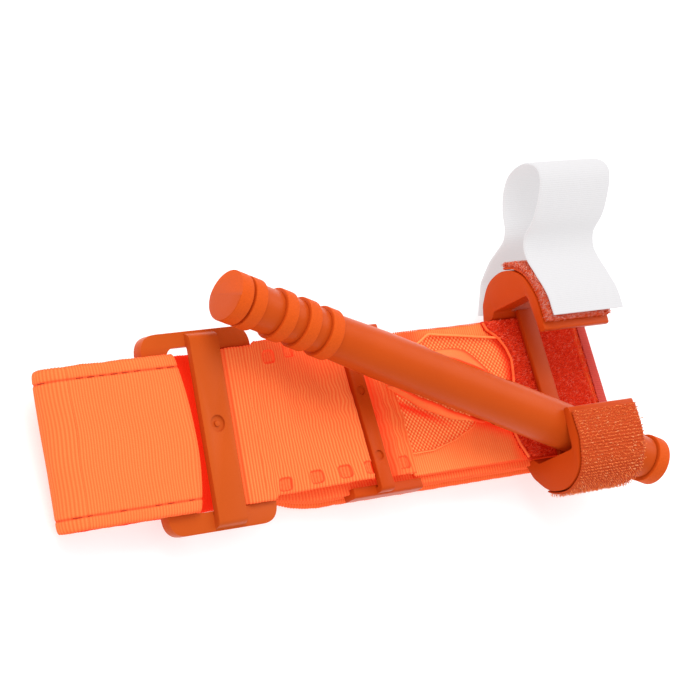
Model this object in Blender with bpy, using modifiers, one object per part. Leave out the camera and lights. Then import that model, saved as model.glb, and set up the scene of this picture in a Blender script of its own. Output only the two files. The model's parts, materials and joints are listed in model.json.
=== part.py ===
"""A windlass tourniquet, laid flat and folded for storage.

Metres, +Z up. X runs along the webbing, from the buckle at -X to the windlass clip at +X.
The origin is on the resting plane, straight below the middle of the windlass rod's slot.
"""
import math

import bmesh
import bpy
from mathutils import Matrix, Vector

# Webbing
BAND_WIDTH = 0.0381
HALF_BAND = BAND_WIDTH / 2
BAND_THICKNESS = 0.0020
PLY_THICKNESS = 0.0008
MESH_THICKNESS = 0.0007
GAP = 0.0003

# Heights of the flat stack, each at the middle of its layer
TAIL_END_Z = 0.0010
TAIL_RUN_Z = 0.0033
BACK_RUN_Z = 0.0056
PLATE_LOW_Z = 0.0069
PLATE_HIGH_Z = 0.0086
LOWER_PLY_Z = 0.0093
INNER_BAND_Z = 0.01035
UPPER_PLY_Z = 0.01145
CLIP_BAR_LOW_Z = 0.0122
CLIP_BAR_HIGH_Z = 0.0135

# Places along X
CLIP_LEFT_X = 0.0295
CLIP_LENGTH = 0.0236
CLIP_RIGHT_X = CLIP_LEFT_X + CLIP_LENGTH
CLIP_BAR_X = (0.0372, 0.0428)
PATCH_X = (0.0280, 0.0592)
SLEEVE_FLAP_END_X = -0.0115
FLANGE_X = (-0.0325, -0.0085)
CROSSBAR_X = (-0.0254, -0.0212)
STACK_LEFT_X = -0.0557
RIGHT_FOLD_X = 0.0595

# Windlass rod
ROD_LENGTH = 0.1461
GRIP_RADIUS = 0.0057
BODY_RADIUS = 0.0060
BODY_SPAN = (0.0480, 0.1080)
RING_RADIUS = 0.0064
ROD_AXIS_Z = 0.0236
ROD_HEADING = math.radians(-21.9)
ROD_DIP = math.radians(4.7)
ROD_SHIFT = -0.0026
RING_WIDTH = 0.0040
RING_RIGHT_EDGES = (0.0081, 0.0178, 0.0250, 0.0322)
END_DISC_WIDTH = 0.0038
SLOT_LENGTH = 0.0300
SLOT_HEIGHT = 0.0035
SLOT_TURN = math.radians(-32)

# Buckle group, in its own frame: x from the frame's left edge, z from the frame's middle
BUCKLE_LEFT_X = -0.0888
BUCKLE_Z = 0.0118
BUCKLE_ROLL = math.radians(9.6)
BUCKLE_LENGTH = 0.0327
BUCKLE_WIDTH = 0.0484
FRAME_THICKNESS = 0.0030
SLOT_HALF_LENGTH = 0.0196
LEFT_SLOT_X = (0.0072, 0.0134)
RIGHT_SLOT_X = (0.0218, 0.0252)
CENTRE_BAR_FACE_Z = 0.0035
CENTRE_BAR_HALF_FACE = 0.0228
FOLD_CENTRE_X = -0.0222
FOLD_CENTRE_Z = -0.0029
INNER_FOLD_RADIUS = 0.00215
OUTER_FOLD_RADIUS = 0.0045
BAR_WRAP_RADIUS = 0.0028
SLEEVE_WRAP_RADIUS = 0.00235
BUCKLE_STACK_END_X = 0.0326
HINGE_X = -0.05665

# Clip hooks: half outlines, as distance from the middle plane, height and corner radius
HOOK_OUTLINE = (
    (0.0104, 0.0290, 0.0004), (0.0192, 0.0291, 0.0120), (0.0266, 0.0268, 0.0120), (0.0303, 0.0205, 0.0120),
    (0.0290, 0.0134, 0.0120), (0.0240, 0.0092, 0.0040), (0.0183, 0.0069, 0.0), (0.0183, 0.0086, 0.0),
    (0.0195, 0.0086, 0.0), (0.0195, 0.0110, 0.0004), (0.0211, 0.0127, 0.0008), (0.0210, 0.0262, 0.0012),
    (0.0104, 0.0271, 0.0004),
)
POCKET_OUTLINE = (
    (0.0199, 0.0122, 0.0), (0.0264, 0.0123, 0.0030), (0.0278, 0.0190, 0.0040), (0.0262, 0.0254, 0.0035),
    (0.0199, 0.0264, 0.0),
)
HOOK_RIB_LENGTH = 0.0065
TAPE_THICKNESS = 0.0012
NEAR_TAPE_SPAN = (0.0014, 0.0310)
FAR_TAPE_SPAN = (0.0020, 0.0235)

# Time strap
STRAP_WIDTH = 0.0254
STRAP_LEFT_X = 0.0315
STRAP_THICKNESS = 0.0008
STRAP_HINGE_YZ = (0.0310, 0.0098)


def clear_scene():
    for obj in list(bpy.data.objects):
        bpy.data.objects.remove(obj, do_unlink=True)


def new_collection(name):
    collection = bpy.data.collections.new(name)
    bpy.context.scene.collection.children.link(collection)
    return collection


def new_material(name, colour, roughness):
    material = bpy.data.materials.new(name)
    material.use_nodes = True
    shader = material.node_tree.nodes["Principled BSDF"]
    shader.inputs["Base Color"].default_value = (*colour, 1.0)
    shader.inputs["Roughness"].default_value = roughness
    shader.inputs["Metallic"].default_value = 0.0
    return material


def add_object(name, data, material, place=None):
    obj = bpy.data.objects.new(name, data)
    PARTS.objects.link(obj)
    obj.data.materials.append(material)
    if place is not None:
        obj.matrix_world = place
    return obj


def new_pivot(name, location):
    pivot = bpy.data.objects.new(name, None)
    PARTS.objects.link(pivot)
    pivot.location = location
    return pivot


def hang_on(pivot, pieces):
    for piece in pieces:
        piece.parent = pivot
        piece.matrix_parent_inverse = Matrix.Translation(pivot.location).inverted()


def mesh_from(bm, name):
    bmesh.ops.recalc_face_normals(bm, faces=bm.faces)
    mesh = bpy.data.meshes.new(name)
    bm.to_mesh(mesh)
    bm.free()
    return mesh


def add_box(name, low, high, material, place=None):
    bm = bmesh.new()
    bmesh.ops.create_cube(bm, size=1.0)
    middle = (Vector(low) + Vector(high)) / 2
    size = Vector(high) - Vector(low)
    bmesh.ops.scale(bm, vec=size, verts=bm.verts)
    bmesh.ops.translate(bm, vec=middle, verts=bm.verts)
    return add_object(name, mesh_from(bm, name), material, place)


def add_bevel(obj, width, segments=2, angle=35):
    bevel = obj.modifiers.new("bevel", "BEVEL")
    bevel.width = width
    bevel.segments = segments
    bevel.limit_method = "ANGLE"
    bevel.angle_limit = math.radians(angle)
    return obj


def add_boolean(obj, other, operation):
    boolean = obj.modifiers.new(operation.lower(), "BOOLEAN")
    boolean.operation = operation
    boolean.solver = "EXACT"
    boolean.object = other


def make_cutter(obj):
    PARTS.objects.unlink(obj)
    CUTTERS.objects.link(obj)
    obj.hide_render = True
    obj.display_type = "WIRE"
    return obj


def rounded(corners, segments=4):
    """Replace each corner (u, v, radius) of a closed outline with an arc of that radius."""
    points = []
    count = len(corners)
    for index, (u, v, radius) in enumerate(corners):
        corner = Vector((u, v))
        before = Vector(corners[index - 1][:2]) - corner
        after = Vector(corners[(index + 1) % count][:2]) - corner
        if radius == 0:
            points.append(corner)
            continue
        half = before.angle(after) / 2
        reach = min(radius / math.tan(half), 0.48 * before.length, 0.48 * after.length)
        start = corner + before.normalized() * reach
        finish = corner + after.normalized() * reach
        for step in range(segments + 1):
            t = step / segments
            points.append(start.lerp(corner, t).lerp(corner.lerp(finish, t), t))
    return points


def smooth_path(points, steps=4):
    """A Catmull-Rom curve through the points, as a list with `steps` spans between each two."""
    points = [Vector(point) for point in points]
    padded = [2 * points[0] - points[1], *points, 2 * points[-1] - points[-2]]
    result = []
    for i in range(1, len(padded) - 2):
        a, b, c, d = padded[i - 1:i + 3]
        for step in range(steps):
            t = step / steps
            result.append(0.5 * ((2 * b) + (c - a) * t + (2 * a - 5 * b + 4 * c - d) * t * t
                                 + (3 * b - a - 3 * c + d) * t ** 3))
    result.append(points[-1])
    return result


def arc(centre, radius, start_deg, end_deg, steps=10):
    angles = [math.radians(start_deg + (end_deg - start_deg) * i / steps) for i in range(steps + 1)]
    return [Vector((centre[0] + radius * math.cos(a), centre[1] + radius * math.sin(a))) for a in angles]


def add_outline(name, loops, depth, material, place):
    """Extrude flat outlines, the first one outer and the rest holes, by depth, centred on place."""
    curve = bpy.data.curves.new(name, "CURVE")
    curve.dimensions = "2D"
    curve.fill_mode = "BOTH"
    curve.extrude = depth / 2
    for loop in loops:
        spline = curve.splines.new("POLY")
        spline.points.add(len(loop) - 1)
        spline.use_cyclic_u = True
        for point, (u, v) in zip(spline.points, loop):
            point.co = (u, v, 0, 1)
    drawing = bpy.data.objects.new(name + "_drawing", curve)
    PARTS.objects.link(drawing)
    drawing.matrix_world = place
    bpy.context.view_layer.update()
    evaluated = drawing.evaluated_get(bpy.context.evaluated_depsgraph_get())
    bm = bmesh.new()
    bm.from_mesh(bpy.data.meshes.new_from_object(evaluated))
    bmesh.ops.remove_doubles(bm, verts=bm.verts, dist=0.00001)
    bpy.data.objects.remove(drawing, do_unlink=True)
    return add_object(name, mesh_from(bm, name), material, place)


def side_plane(x):
    """A placement whose drawing plane is Y-Z, at x, extruded along X."""
    turn = Matrix(((0, 0, 1), (1, 0, 0), (0, 1, 0))).to_4x4()
    return Matrix.Translation((x, 0, 0)) @ turn


def flat_plane(z):
    return Matrix.Translation((0, 0, z))


def add_sheet(name, rows, columns, surface, thickness, material, place=None):
    """A grid moved onto surface(row, across) and given thickness; across runs from -1 to 1."""
    bm = bmesh.new()
    bmesh.ops.create_grid(bm, x_segments=rows, y_segments=columns, size=1.0)
    for vertex in bm.verts:
        row = round((vertex.co.x + 1) / 2 * rows)
        vertex.co = surface(row, vertex.co.y)
    obj = add_object(name, mesh_from(bm, name), material, place)
    solidify = obj.modifiers.new("solidify", "SOLIDIFY")
    solidify.thickness = thickness
    solidify.offset = 0
    solidify.use_even_offset = True
    return obj


def add_band(name, path, thickness, material, place=None, half_width=HALF_BAND):
    """Webbing that follows a path of (x, z) points and lies straight across Y."""
    def surface(row, across):
        return Vector((path[row][0], across * half_width, path[row][1]))
    return add_sheet(name, len(path) - 1, 1, surface, thickness, material, place)


def add_wrap(name, path, width, left_x, thickness, material):
    """Webbing that follows a path of (y, z) points and lies straight along X."""
    def surface(row, across):
        return Vector((left_x + width * (across + 1) / 2, path[row][0], path[row][1]))
    return add_sheet(name, len(path) - 1, 1, surface, thickness, material)


def stack_roll(x):
    """How far the stack of layers is rolled about X: fully at the buckle, flat from the flange."""
    t = min(max((FLANGE_X[0] - x) / (FLANGE_X[0] - STACK_LEFT_X), 0.0), 1.0)
    return t * t * (3 - 2 * t)


def add_layer(name, start_x, end_x, buckle_z, flat_z, thickness, material):
    """A layer of the stack that untwists from the rolled buckle to the flat plate."""
    twist_rows = 12
    xs = [start_x + (FLANGE_X[0] - start_x) * i / twist_rows for i in range(twist_rows + 1)]
    xs.append(end_x)

    def surface(row, across):
        t = stack_roll(xs[row])
        roll = BUCKLE_ROLL * t
        height = flat_z * (1 - t) + (BUCKLE_Z + buckle_z) * t
        reach = across * HALF_BAND
        return Vector((xs[row], reach * math.cos(roll), height + reach * math.sin(roll)))
    return add_sheet(name, len(xs) - 1, 2, surface, thickness, material)


def make_rod(plastic):
    half = ROD_LENGTH / 2
    edge = 0.0004
    groove = 0.0005
    stations = [(0.0, 0.0)]

    def ring(start, finish, radius):
        stations.extend([(start, radius - edge), (start + edge, radius), (finish - edge, radius)])
        stations.append((finish, radius - edge))

    ring(0.0, END_DISC_WIDTH, RING_RADIUS)
    stations.append((END_DISC_WIDTH, GRIP_RADIUS - groove))
    for right in RING_RIGHT_EDGES:
        start = max(right - RING_WIDTH, END_DISC_WIDTH + groove)
        stations.append((start, GRIP_RADIUS if start > END_DISC_WIDTH + groove else GRIP_RADIUS - groove))
        ring(start, right, RING_RADIUS)
        stations.append((right, GRIP_RADIUS))
    stations.extend((at, BODY_RADIUS) for at in BODY_SPAN)
    disc_start = ROD_LENGTH - END_DISC_WIDTH
    stations.append((disc_start - groove, GRIP_RADIUS))
    stations.append((disc_start - groove, GRIP_RADIUS - groove))
    stations.append((disc_start, GRIP_RADIUS - groove))
    ring(disc_start, ROD_LENGTH, RING_RADIUS)
    stations.append((ROD_LENGTH, 0.0))

    mesh = bpy.data.meshes.new("windlass_rod")
    points = [(radius, 0, half - s) for s, radius in stations]
    mesh.from_pydata(points, [(i, i + 1) for i in range(len(points) - 1)], [])
    lean = Matrix.Rotation(ROD_HEADING, 4, "Z") @ Matrix.Rotation(ROD_DIP - math.pi / 2, 4, "Y")
    place = Matrix.Translation((0, 0, ROD_AXIS_Z)) @ lean
    rod = add_object("windlass_rod", mesh, plastic, place @ Matrix.Translation((0, 0, -ROD_SHIFT)))
    screw = rod.modifiers.new("screw", "SCREW")
    screw.axis = "Z"
    screw.steps = 40
    screw.render_steps = 40
    screw.use_merge_vertices = True
    screw.merge_threshold = 0.00001
    weld = rod.modifiers.new("weld", "WELD")
    weld.merge_threshold = 0.00001

    reach = 2 * RING_RADIUS
    turned = place @ Matrix.Rotation(SLOT_TURN, 4, "Z")
    cutter = add_box("slot_cutter", (-SLOT_HEIGHT / 2, -reach, -SLOT_LENGTH / 2),
                     (SLOT_HEIGHT / 2, reach, SLOT_LENGTH / 2), plastic, turned)
    add_boolean(rod, make_cutter(cutter), "DIFFERENCE")
    return rod, turned


def make_slot_band(place, webbing):
    """The stretch of the inner band that is held in the rod's slot."""
    half_x = MESH_THICKNESS
    half_z = SLOT_LENGTH / 2 - 0.0010
    return add_box("inner_band_slot", (-half_x, -0.0061, -half_z), (half_x, 0.0061, half_z), webbing, place)


def make_slot_fold(name, side, lengths, webbing):
    """The inner band where it climbs from the sleeve to the rod's slot, on one side of the rod."""
    near = [(0.0120, 0.0123), (0.0108, 0.0128), (0.0101, 0.0142), (0.0094, 0.0164), (0.0078, 0.0184),
            (0.0062, 0.0197)]
    far = [(0.0150, 0.0124), (0.0120, 0.0126), (0.0100, 0.0136), (0.0087, 0.0158), (0.0078, 0.0185),
           (0.0073, 0.0230), (0.0064, 0.0268)]
    climb = smooth_path(near if side < 0 else far, 3)
    heading = Matrix.Rotation(ROD_HEADING, 4, "Z")
    low_start, low_end, half_top = lengths

    def surface(row, across):
        t = row / (len(climb) - 1)
        start = low_start * (1 - t) - half_top * t
        finish = low_end * (1 - t) + half_top * t
        along = start + (finish - start) * (across + 1) / 2
        drop = along * math.tan(ROD_DIP) * t
        return heading @ Vector((along, side * climb[row][0], climb[row][1] - drop))
    return add_sheet(name, len(climb) - 1, 4, surface, MESH_THICKNESS, webbing)


def make_plate(plastic):
    """The stiff plate under the sleeve, with its flange and the loop that holds the sleeve down."""
    flange = 0.0220
    body = 0.0180
    corner = 0.0010
    left, right = FLANGE_X
    half_outline = [(left, flange, corner), (right, flange, corner), (right, body, corner),
                    (CLIP_RIGHT_X, body, corner)]
    other_half = [(x, -y, radius) for x, y, radius in reversed(half_outline)]
    middle = (PLATE_LOW_Z + PLATE_HIGH_Z) / 2
    plate = add_outline("stabilization_plate", [rounded(half_outline + other_half)],
                        PLATE_HIGH_Z - PLATE_LOW_Z, plastic, flat_plane(middle))
    inside = HALF_BAND + 0.0004
    outside = inside + 0.0018
    top = CLIP_BAR_HIGH_Z + 0.0002
    ring = [(outside, 0.0075, 0.0), (outside, top, 0.0010), (-outside, top, 0.0010), (-outside, 0.0075, 0.0)]
    hole = [(inside, 0.0080, 0.0), (inside, CLIP_BAR_LOW_Z, 0.0006), (-inside, CLIP_BAR_LOW_Z, 0.0006),
            (-inside, 0.0080, 0.0)]
    loop = add_outline("crossbar_loop", [rounded(ring), rounded(hole)], CROSSBAR_X[1] - CROSSBAR_X[0],
                       plastic, side_plane(sum(CROSSBAR_X) / 2))
    add_boolean(plate, make_cutter(loop), "UNION")
    rail_top = 0.0112
    for side in (-1, 1):
        rail_outline = [(side * inside, PLATE_LOW_Z, 0.0), (side * flange, PLATE_LOW_Z, 0.0),
                        (side * flange, rail_top, 0.0006), (side * inside, rail_top, 0.0)]
        rail = add_outline("flange_rail", [rounded(rail_outline)], right - left, plastic,
                           side_plane((left + right) / 2))
        add_boolean(plate, make_cutter(rail), "UNION")
    return add_bevel(plate, 0.0003, 1)


def make_hook(name, side, plastic):
    outline = [(side * y, z) for y, z in rounded(HOOK_OUTLINE)]
    hook = add_outline(name, [outline], CLIP_LENGTH, plastic, side_plane(CLIP_LEFT_X + CLIP_LENGTH / 2))
    pocket = [(side * y, z) for y, z in rounded(POCKET_OUTLINE)]
    length = CLIP_LENGTH
    cutter = add_outline(name + "_pocket", [pocket], length, plastic,
                         side_plane(CLIP_LEFT_X + HOOK_RIB_LENGTH + length / 2))
    add_boolean(hook, make_cutter(cutter), "DIFFERENCE")
    return add_bevel(hook, 0.0004, 2, 50)


def hook_skin(side, start, finish, steps=18):
    """The path of a tape stuck on a hook, between two distances along the hook's outer side."""
    outer = rounded(HOOK_OUTLINE)[2:30]
    lengths = [0.0]
    for before, after in zip(outer, outer[1:]):
        lengths.append(lengths[-1] + (after - before).length)

    def at(distance):
        span = max(i for i in range(len(outer) - 1) if lengths[i] <= distance)
        t = (distance - lengths[span]) / (lengths[span + 1] - lengths[span])
        return outer[span].lerp(outer[span + 1], t)
    path = []
    reach = 0.0005
    for step in range(steps + 1):
        distance = start + (finish - start) * step / steps
        along = at(distance + reach) - at(distance - reach)
        outward = Vector((-along.y, along.x)).normalized()
        point = at(distance) + outward * (GAP + TAPE_THICKNESS / 2)
        path.append((side * point.x, point.y))
    return path


def make_hook_tape(name, side, start, finish, tape):
    path = hook_skin(side, start, finish)
    return add_wrap(name, path, CLIP_LENGTH - 0.0010, CLIP_LEFT_X + 0.0005, TAPE_THICKNESS, tape)


def make_time_strap(webbing):
    path = smooth_path([
        (0.0311, 0.0100), (0.0343, 0.0145), (0.0372, 0.0210), (0.0400, 0.0233), (0.0450, 0.0246),
        (0.0493, 0.0269), (0.0526, 0.0307), (0.0534, 0.0362), (0.0513, 0.0404), (0.0478, 0.0412),
        (0.0433, 0.0386), (0.0387, 0.0343), (0.0362, 0.0300), (0.0335, 0.0282), (0.0301, 0.0280),
        (0.0245, 0.0299), (0.0191, 0.0316), (0.0135, 0.0318),
    ], 3)
    return add_wrap("time_strap", path, STRAP_WIDTH, STRAP_LEFT_X, STRAP_THICKNESS, webbing)


def make_buckle(plastic, place):
    half_width = BUCKLE_WIDTH / 2
    corner = 0.0050
    outer = [(0, -half_width, corner), (BUCKLE_LENGTH, -half_width, corner),
             (BUCKLE_LENGTH, half_width, corner), (0, half_width, corner)]

    def slot(ends):
        low, high = ends
        return rounded([(low, -SLOT_HALF_LENGTH, 0.0020), (high, -SLOT_HALF_LENGTH, 0.0020),
                        (high, SLOT_HALF_LENGTH, 0.0020), (low, SLOT_HALF_LENGTH, 0.0020)], 3)
    frame = add_outline("slider_buckle", [rounded(outer, 6), slot(LEFT_SLOT_X), slot(RIGHT_SLOT_X)],
                        FRAME_THICKNESS, plastic, place)
    low = -FRAME_THICKNESS / 2 + GAP
    foot = half_width - 0.0004
    ridge = [(-foot, low, 0.0), (foot, low, 0.0), (foot, FRAME_THICKNESS / 2 - GAP, 0.0),
             (CENTRE_BAR_HALF_FACE, CENTRE_BAR_FACE_Z, 0.0015),
             (-CENTRE_BAR_HALF_FACE, CENTRE_BAR_FACE_Z, 0.0015), (-foot, FRAME_THICKNESS / 2 - GAP, 0.0)]
    bar_low = LEFT_SLOT_X[1] - 0.0001
    bar_high = RIGHT_SLOT_X[0] + 0.0001
    bar = add_outline("centre_bar", [rounded(ridge)], bar_high - bar_low, plastic,
                      place @ side_plane((bar_low + bar_high) / 2))
    add_boolean(frame, make_cutter(bar), "UNION")
    return add_bevel(frame, 0.0005, 2)


def make_sleeve_end(webbing, place):
    """The sleeve where it goes round the buckle's right bar."""
    end = (BUCKLE_STACK_END_X, SLEEVE_WRAP_RADIUS)
    turn = arc((RIGHT_SLOT_X[1] + 0.0002, 0), SLEEVE_WRAP_RADIUS, 90, 270)
    path = [end, *turn, (end[0], -end[1])]
    return add_band("sleeve_end_loop", path, PLY_THICKNESS, webbing, place)


def make_left_loop(webbing, place):
    """The band round the buckle's left bar and the folds at the left end of the stack."""
    inner_top = FOLD_CENTRE_Z + INNER_FOLD_RADIUS
    inner_low = FOLD_CENTRE_Z - INNER_FOLD_RADIUS
    outer_top = FOLD_CENTRE_Z + OUTER_FOLD_RADIUS
    outer_low = FOLD_CENTRE_Z - OUTER_FOLD_RADIUS
    centre = (FOLD_CENTRE_X, FOLD_CENTRE_Z)
    wrap_x = LEFT_SLOT_X[0] + 0.0002
    under = smooth_path([(FOLD_CENTRE_X + GAP, inner_top), (-0.0150, inner_top), (-0.0060, -0.0016),
                         (0.0005, -BAR_WRAP_RADIUS), (wrap_x, -BAR_WRAP_RADIUS)])
    wrap = arc((wrap_x, 0), BAR_WRAP_RADIUS, -90, 90)[1:]
    over = smooth_path([(wrap_x - GAP, BAR_WRAP_RADIUS), (-0.0010, BAR_WRAP_RADIUS),
                        (-0.0070, 0.0022), (-0.0150, outer_top), (FOLD_CENTRE_X + GAP, outer_top)])
    fold_in = arc(centre, INNER_FOLD_RADIUS, 90, 270)
    fold_out = arc(centre, OUTER_FOLD_RADIUS, 90, 270, 14)
    back = [(FOLD_CENTRE_X + GAP, inner_low), (BUCKLE_STACK_END_X, inner_low)]
    tail = [(FOLD_CENTRE_X + GAP, outer_low), (BUCKLE_STACK_END_X, outer_low)]
    return [
        add_band("band_under_buckle", under + wrap, BAND_THICKNESS, webbing, place),
        add_band("band_over_buckle", over, BAND_THICKNESS, webbing, place),
        add_band("band_inner_fold", fold_in, BAND_THICKNESS, webbing, place),
        add_band("band_outer_fold", fold_out, BAND_THICKNESS, webbing, place),
        add_band("band_back_left", back, BAND_THICKNESS, webbing, place),
        add_band("tail_left_run", tail, BAND_THICKNESS, webbing, place),
    ]


def make_window_panel(webbing):
    left = SLEEVE_FLAP_END_X + GAP
    right = PATCH_X[0] - GAP
    edge = HALF_BAND
    outer = [(left, -edge), (right, -edge), (right, edge), (left, edge)]
    window = [(-0.0088, -0.0128, 0.0008), (0.0035, -0.0122, 0.0060), (0.0150, -0.0065, 0.0060),
              (0.0262, 0.0025, 0.0040), (0.0266, 0.0148, 0.0030), (0.0060, 0.0170, 0.0060),
              (-0.0088, 0.0165, 0.0020)]
    return add_outline("sleeve_window_panel", [outer, rounded(window)], PLY_THICKNESS, webbing,
                       flat_plane(UPPER_PLY_Z - 0.0002))


def make_right_folds(webbing):
    turn = smooth_path([(RIGHT_FOLD_X, 0.0112), (0.0610, 0.0106), (0.0620, 0.0095), (0.0622, 0.0082),
                        (0.0617, 0.0068), (0.0607, 0.0059), (RIGHT_FOLD_X, BACK_RUN_Z)])
    radius = (TAIL_RUN_Z - TAIL_END_Z) / 2
    tail_turn = arc((RIGHT_FOLD_X, TAIL_END_Z + radius), radius, 90, -90)
    return [
        add_band("band_right_fold", turn, 0.0014, webbing),
        add_band("tail_right_fold", tail_turn, BAND_THICKNESS, webbing),
    ]


def flat_layer(name, x_range, z, thickness, material):
    low = (x_range[0], -HALF_BAND, z - thickness / 2)
    high = (x_range[1], HALF_BAND, z + thickness / 2)
    return add_box(name, low, high, material)


clear_scene()
PARTS = new_collection("windlass_tourniquet")
CUTTERS = new_collection("cutters")

orange_web = new_material("band_webbing", (1.0, 0.23, 0.055), 0.8)
sleeve_web = new_material("sleeve_webbing", (1.0, 0.25, 0.06), 0.8)
mesh_web = new_material("inner_band_mesh", (1.0, 0.36, 0.10), 0.8)
rod_plastic = new_material("rod_plastic", (0.62, 0.10, 0.015), 0.42)
clip_plastic = new_material("clip_plastic", (0.60, 0.09, 0.012), 0.42)
buckle_plastic = new_material("buckle_plastic", (0.62, 0.11, 0.02), 0.42)
pile = new_material("loop_pile", (0.85, 0.06, 0.02), 0.95)
hook_tape = new_material("hook_tape", (0.55, 0.02, 0.01), 0.75)
white_web = new_material("strap_webbing", (0.82, 0.78, 0.82), 0.75)

windlass_rod, rod_place = make_rod(rod_plastic)
slot_band = make_slot_band(rod_place, mesh_web)
hang_on(new_pivot("windlass_pivot", (0, 0, ROD_AXIS_Z)), [windlass_rod, slot_band])
make_slot_fold("inner_band_near_fold", -1, (-0.0120, 0.0040, 0.0132), mesh_web)
make_slot_fold("inner_band_far_fold", 1, (-0.0060, 0.0130, 0.0132), mesh_web)

make_plate(clip_plastic)
make_hook("near_clip_hook", -1, clip_plastic)
make_hook("far_clip_hook", 1, clip_plastic)
add_bevel(add_box("clip_bar", (CLIP_BAR_X[0], -0.0192, CLIP_BAR_LOW_Z),
                  (CLIP_BAR_X[1], 0.0192, CLIP_BAR_HIGH_Z), clip_plastic), 0.0003)
make_hook_tape("near_hook_tape", -1, *NEAR_TAPE_SPAN, hook_tape)
make_hook_tape("far_loop_tape", 1, *FAR_TAPE_SPAN, pile)

add_layer("sleeve_upper_panel", STACK_LEFT_X, SLEEVE_FLAP_END_X, SLEEVE_WRAP_RADIUS, UPPER_PLY_Z,
          PLY_THICKNESS, sleeve_web)
add_layer("sleeve_lower_panel", STACK_LEFT_X, RIGHT_FOLD_X - GAP, -SLEEVE_WRAP_RADIUS, LOWER_PLY_Z,
          PLY_THICKNESS, sleeve_web)
add_layer("band_back_run", STACK_LEFT_X, RIGHT_FOLD_X - GAP, FOLD_CENTRE_Z - INNER_FOLD_RADIUS,
          BACK_RUN_Z, BAND_THICKNESS, orange_web)
add_layer("tail_outer_run", STACK_LEFT_X, RIGHT_FOLD_X - GAP, FOLD_CENTRE_Z - OUTER_FOLD_RADIUS,
          TAIL_RUN_Z, BAND_THICKNESS, orange_web)
flat_layer("tail_end_run", (FLANGE_X[0] + 0.0020, RIGHT_FOLD_X - GAP), TAIL_END_Z, BAND_THICKNESS, orange_web)
make_right_folds(orange_web)

make_window_panel(sleeve_web)
flat_layer("inner_band_left", (FLANGE_X[0] + 0.0010, -0.0002), INNER_BAND_Z, MESH_THICKNESS, mesh_web)
flat_layer("inner_band_right", (0.0002, RIGHT_FOLD_X - GAP), INNER_BAND_Z, MESH_THICKNESS, mesh_web)
flat_layer("loop_patch", PATCH_X, UPPER_PLY_Z, 0.0009, pile)

buckle_place = Matrix.Translation((BUCKLE_LEFT_X, 0, BUCKLE_Z)) @ Matrix.Rotation(BUCKLE_ROLL, 4, "X")
buckle_pieces = [make_buckle(buckle_plastic, buckle_place), make_sleeve_end(sleeve_web, buckle_place)]
buckle_pieces += make_left_loop(orange_web, buckle_place)
hang_on(new_pivot("buckle_hinge", (HINGE_X, 0, 0)), buckle_pieces)

time_strap = make_time_strap(white_web)
hang_on(new_pivot("time_strap_hinge", (CLIP_LEFT_X, *STRAP_HINGE_YZ)), [time_strap])
add_wrap("time_strap_anchor", [(0.0226, 0.0043), (0.0303, 0.0089)], STRAP_WIDTH, STRAP_LEFT_X,
         STRAP_THICKNESS, white_web)
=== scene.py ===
# The looks of the folded windlass tourniquet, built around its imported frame. Metres, +Z up.
import json
import math

import bmesh
import bpy
import numpy as np
from mathutils import Matrix, Vector


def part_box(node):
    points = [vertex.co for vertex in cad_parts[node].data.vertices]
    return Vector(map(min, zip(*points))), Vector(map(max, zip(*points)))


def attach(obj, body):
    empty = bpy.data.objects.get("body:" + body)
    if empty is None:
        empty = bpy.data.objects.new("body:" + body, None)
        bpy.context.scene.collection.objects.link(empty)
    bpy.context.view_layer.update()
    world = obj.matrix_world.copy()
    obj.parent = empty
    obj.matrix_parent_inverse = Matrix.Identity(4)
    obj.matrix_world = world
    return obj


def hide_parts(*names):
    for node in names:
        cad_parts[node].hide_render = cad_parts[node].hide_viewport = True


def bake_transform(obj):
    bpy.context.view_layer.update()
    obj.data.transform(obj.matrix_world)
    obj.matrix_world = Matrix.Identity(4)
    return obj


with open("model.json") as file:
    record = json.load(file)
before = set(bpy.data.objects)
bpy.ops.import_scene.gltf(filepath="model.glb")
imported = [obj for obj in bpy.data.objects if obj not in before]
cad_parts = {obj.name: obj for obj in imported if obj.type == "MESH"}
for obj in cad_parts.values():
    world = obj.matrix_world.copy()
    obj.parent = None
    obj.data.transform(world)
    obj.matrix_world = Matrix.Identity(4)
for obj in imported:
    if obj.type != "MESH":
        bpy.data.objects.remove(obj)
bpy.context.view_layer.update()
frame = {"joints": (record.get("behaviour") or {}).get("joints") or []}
RECORD_JOINTS = {joint["name"]: joint for joint in frame["joints"]}

# Webbing
HALF_BAND = (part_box("loop_patch")[1].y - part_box("loop_patch")[0].y) / 2
BAND_THICKNESS = 0.0018
PLY_THICKNESS = 0.0007
BAND_RIB = 0.00080
SLEEVE_RIB = 0.00090
WINDOW_RIB = 0.00072

# Heights of the flat stack, each at the middle of its layer
TAIL_END_Z = 0.0010
TAIL_RUN_Z = 0.0033
BACK_RUN_Z = 0.0056
LOWER_PLY_Z = 0.0093
INNER_BAND_Z = 0.01035
UPPER_PLY_Z = 0.01145

# Places along X
FLANGE_LEFT_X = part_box("stabilization_plate")[0].x
FLANGE_RIGHT_X = -0.0085
RAIL_TOP_Z = 0.0112
CROSSBAR_X = (-0.0254, -0.0212)
FLAP_END_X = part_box("sleeve_upper_panel")[1].x
STACK_LEFT_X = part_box("sleeve_upper_panel")[0].x
RIGHT_FOLD_X = 0.0592
CLIP_LEFT_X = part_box("far_clip_hook")[0].x
CLIP_RIGHT_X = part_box("far_clip_hook")[1].x
CLIP_BAR_X = (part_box("clip_bar")[0].x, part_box("clip_bar")[1].x)

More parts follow.
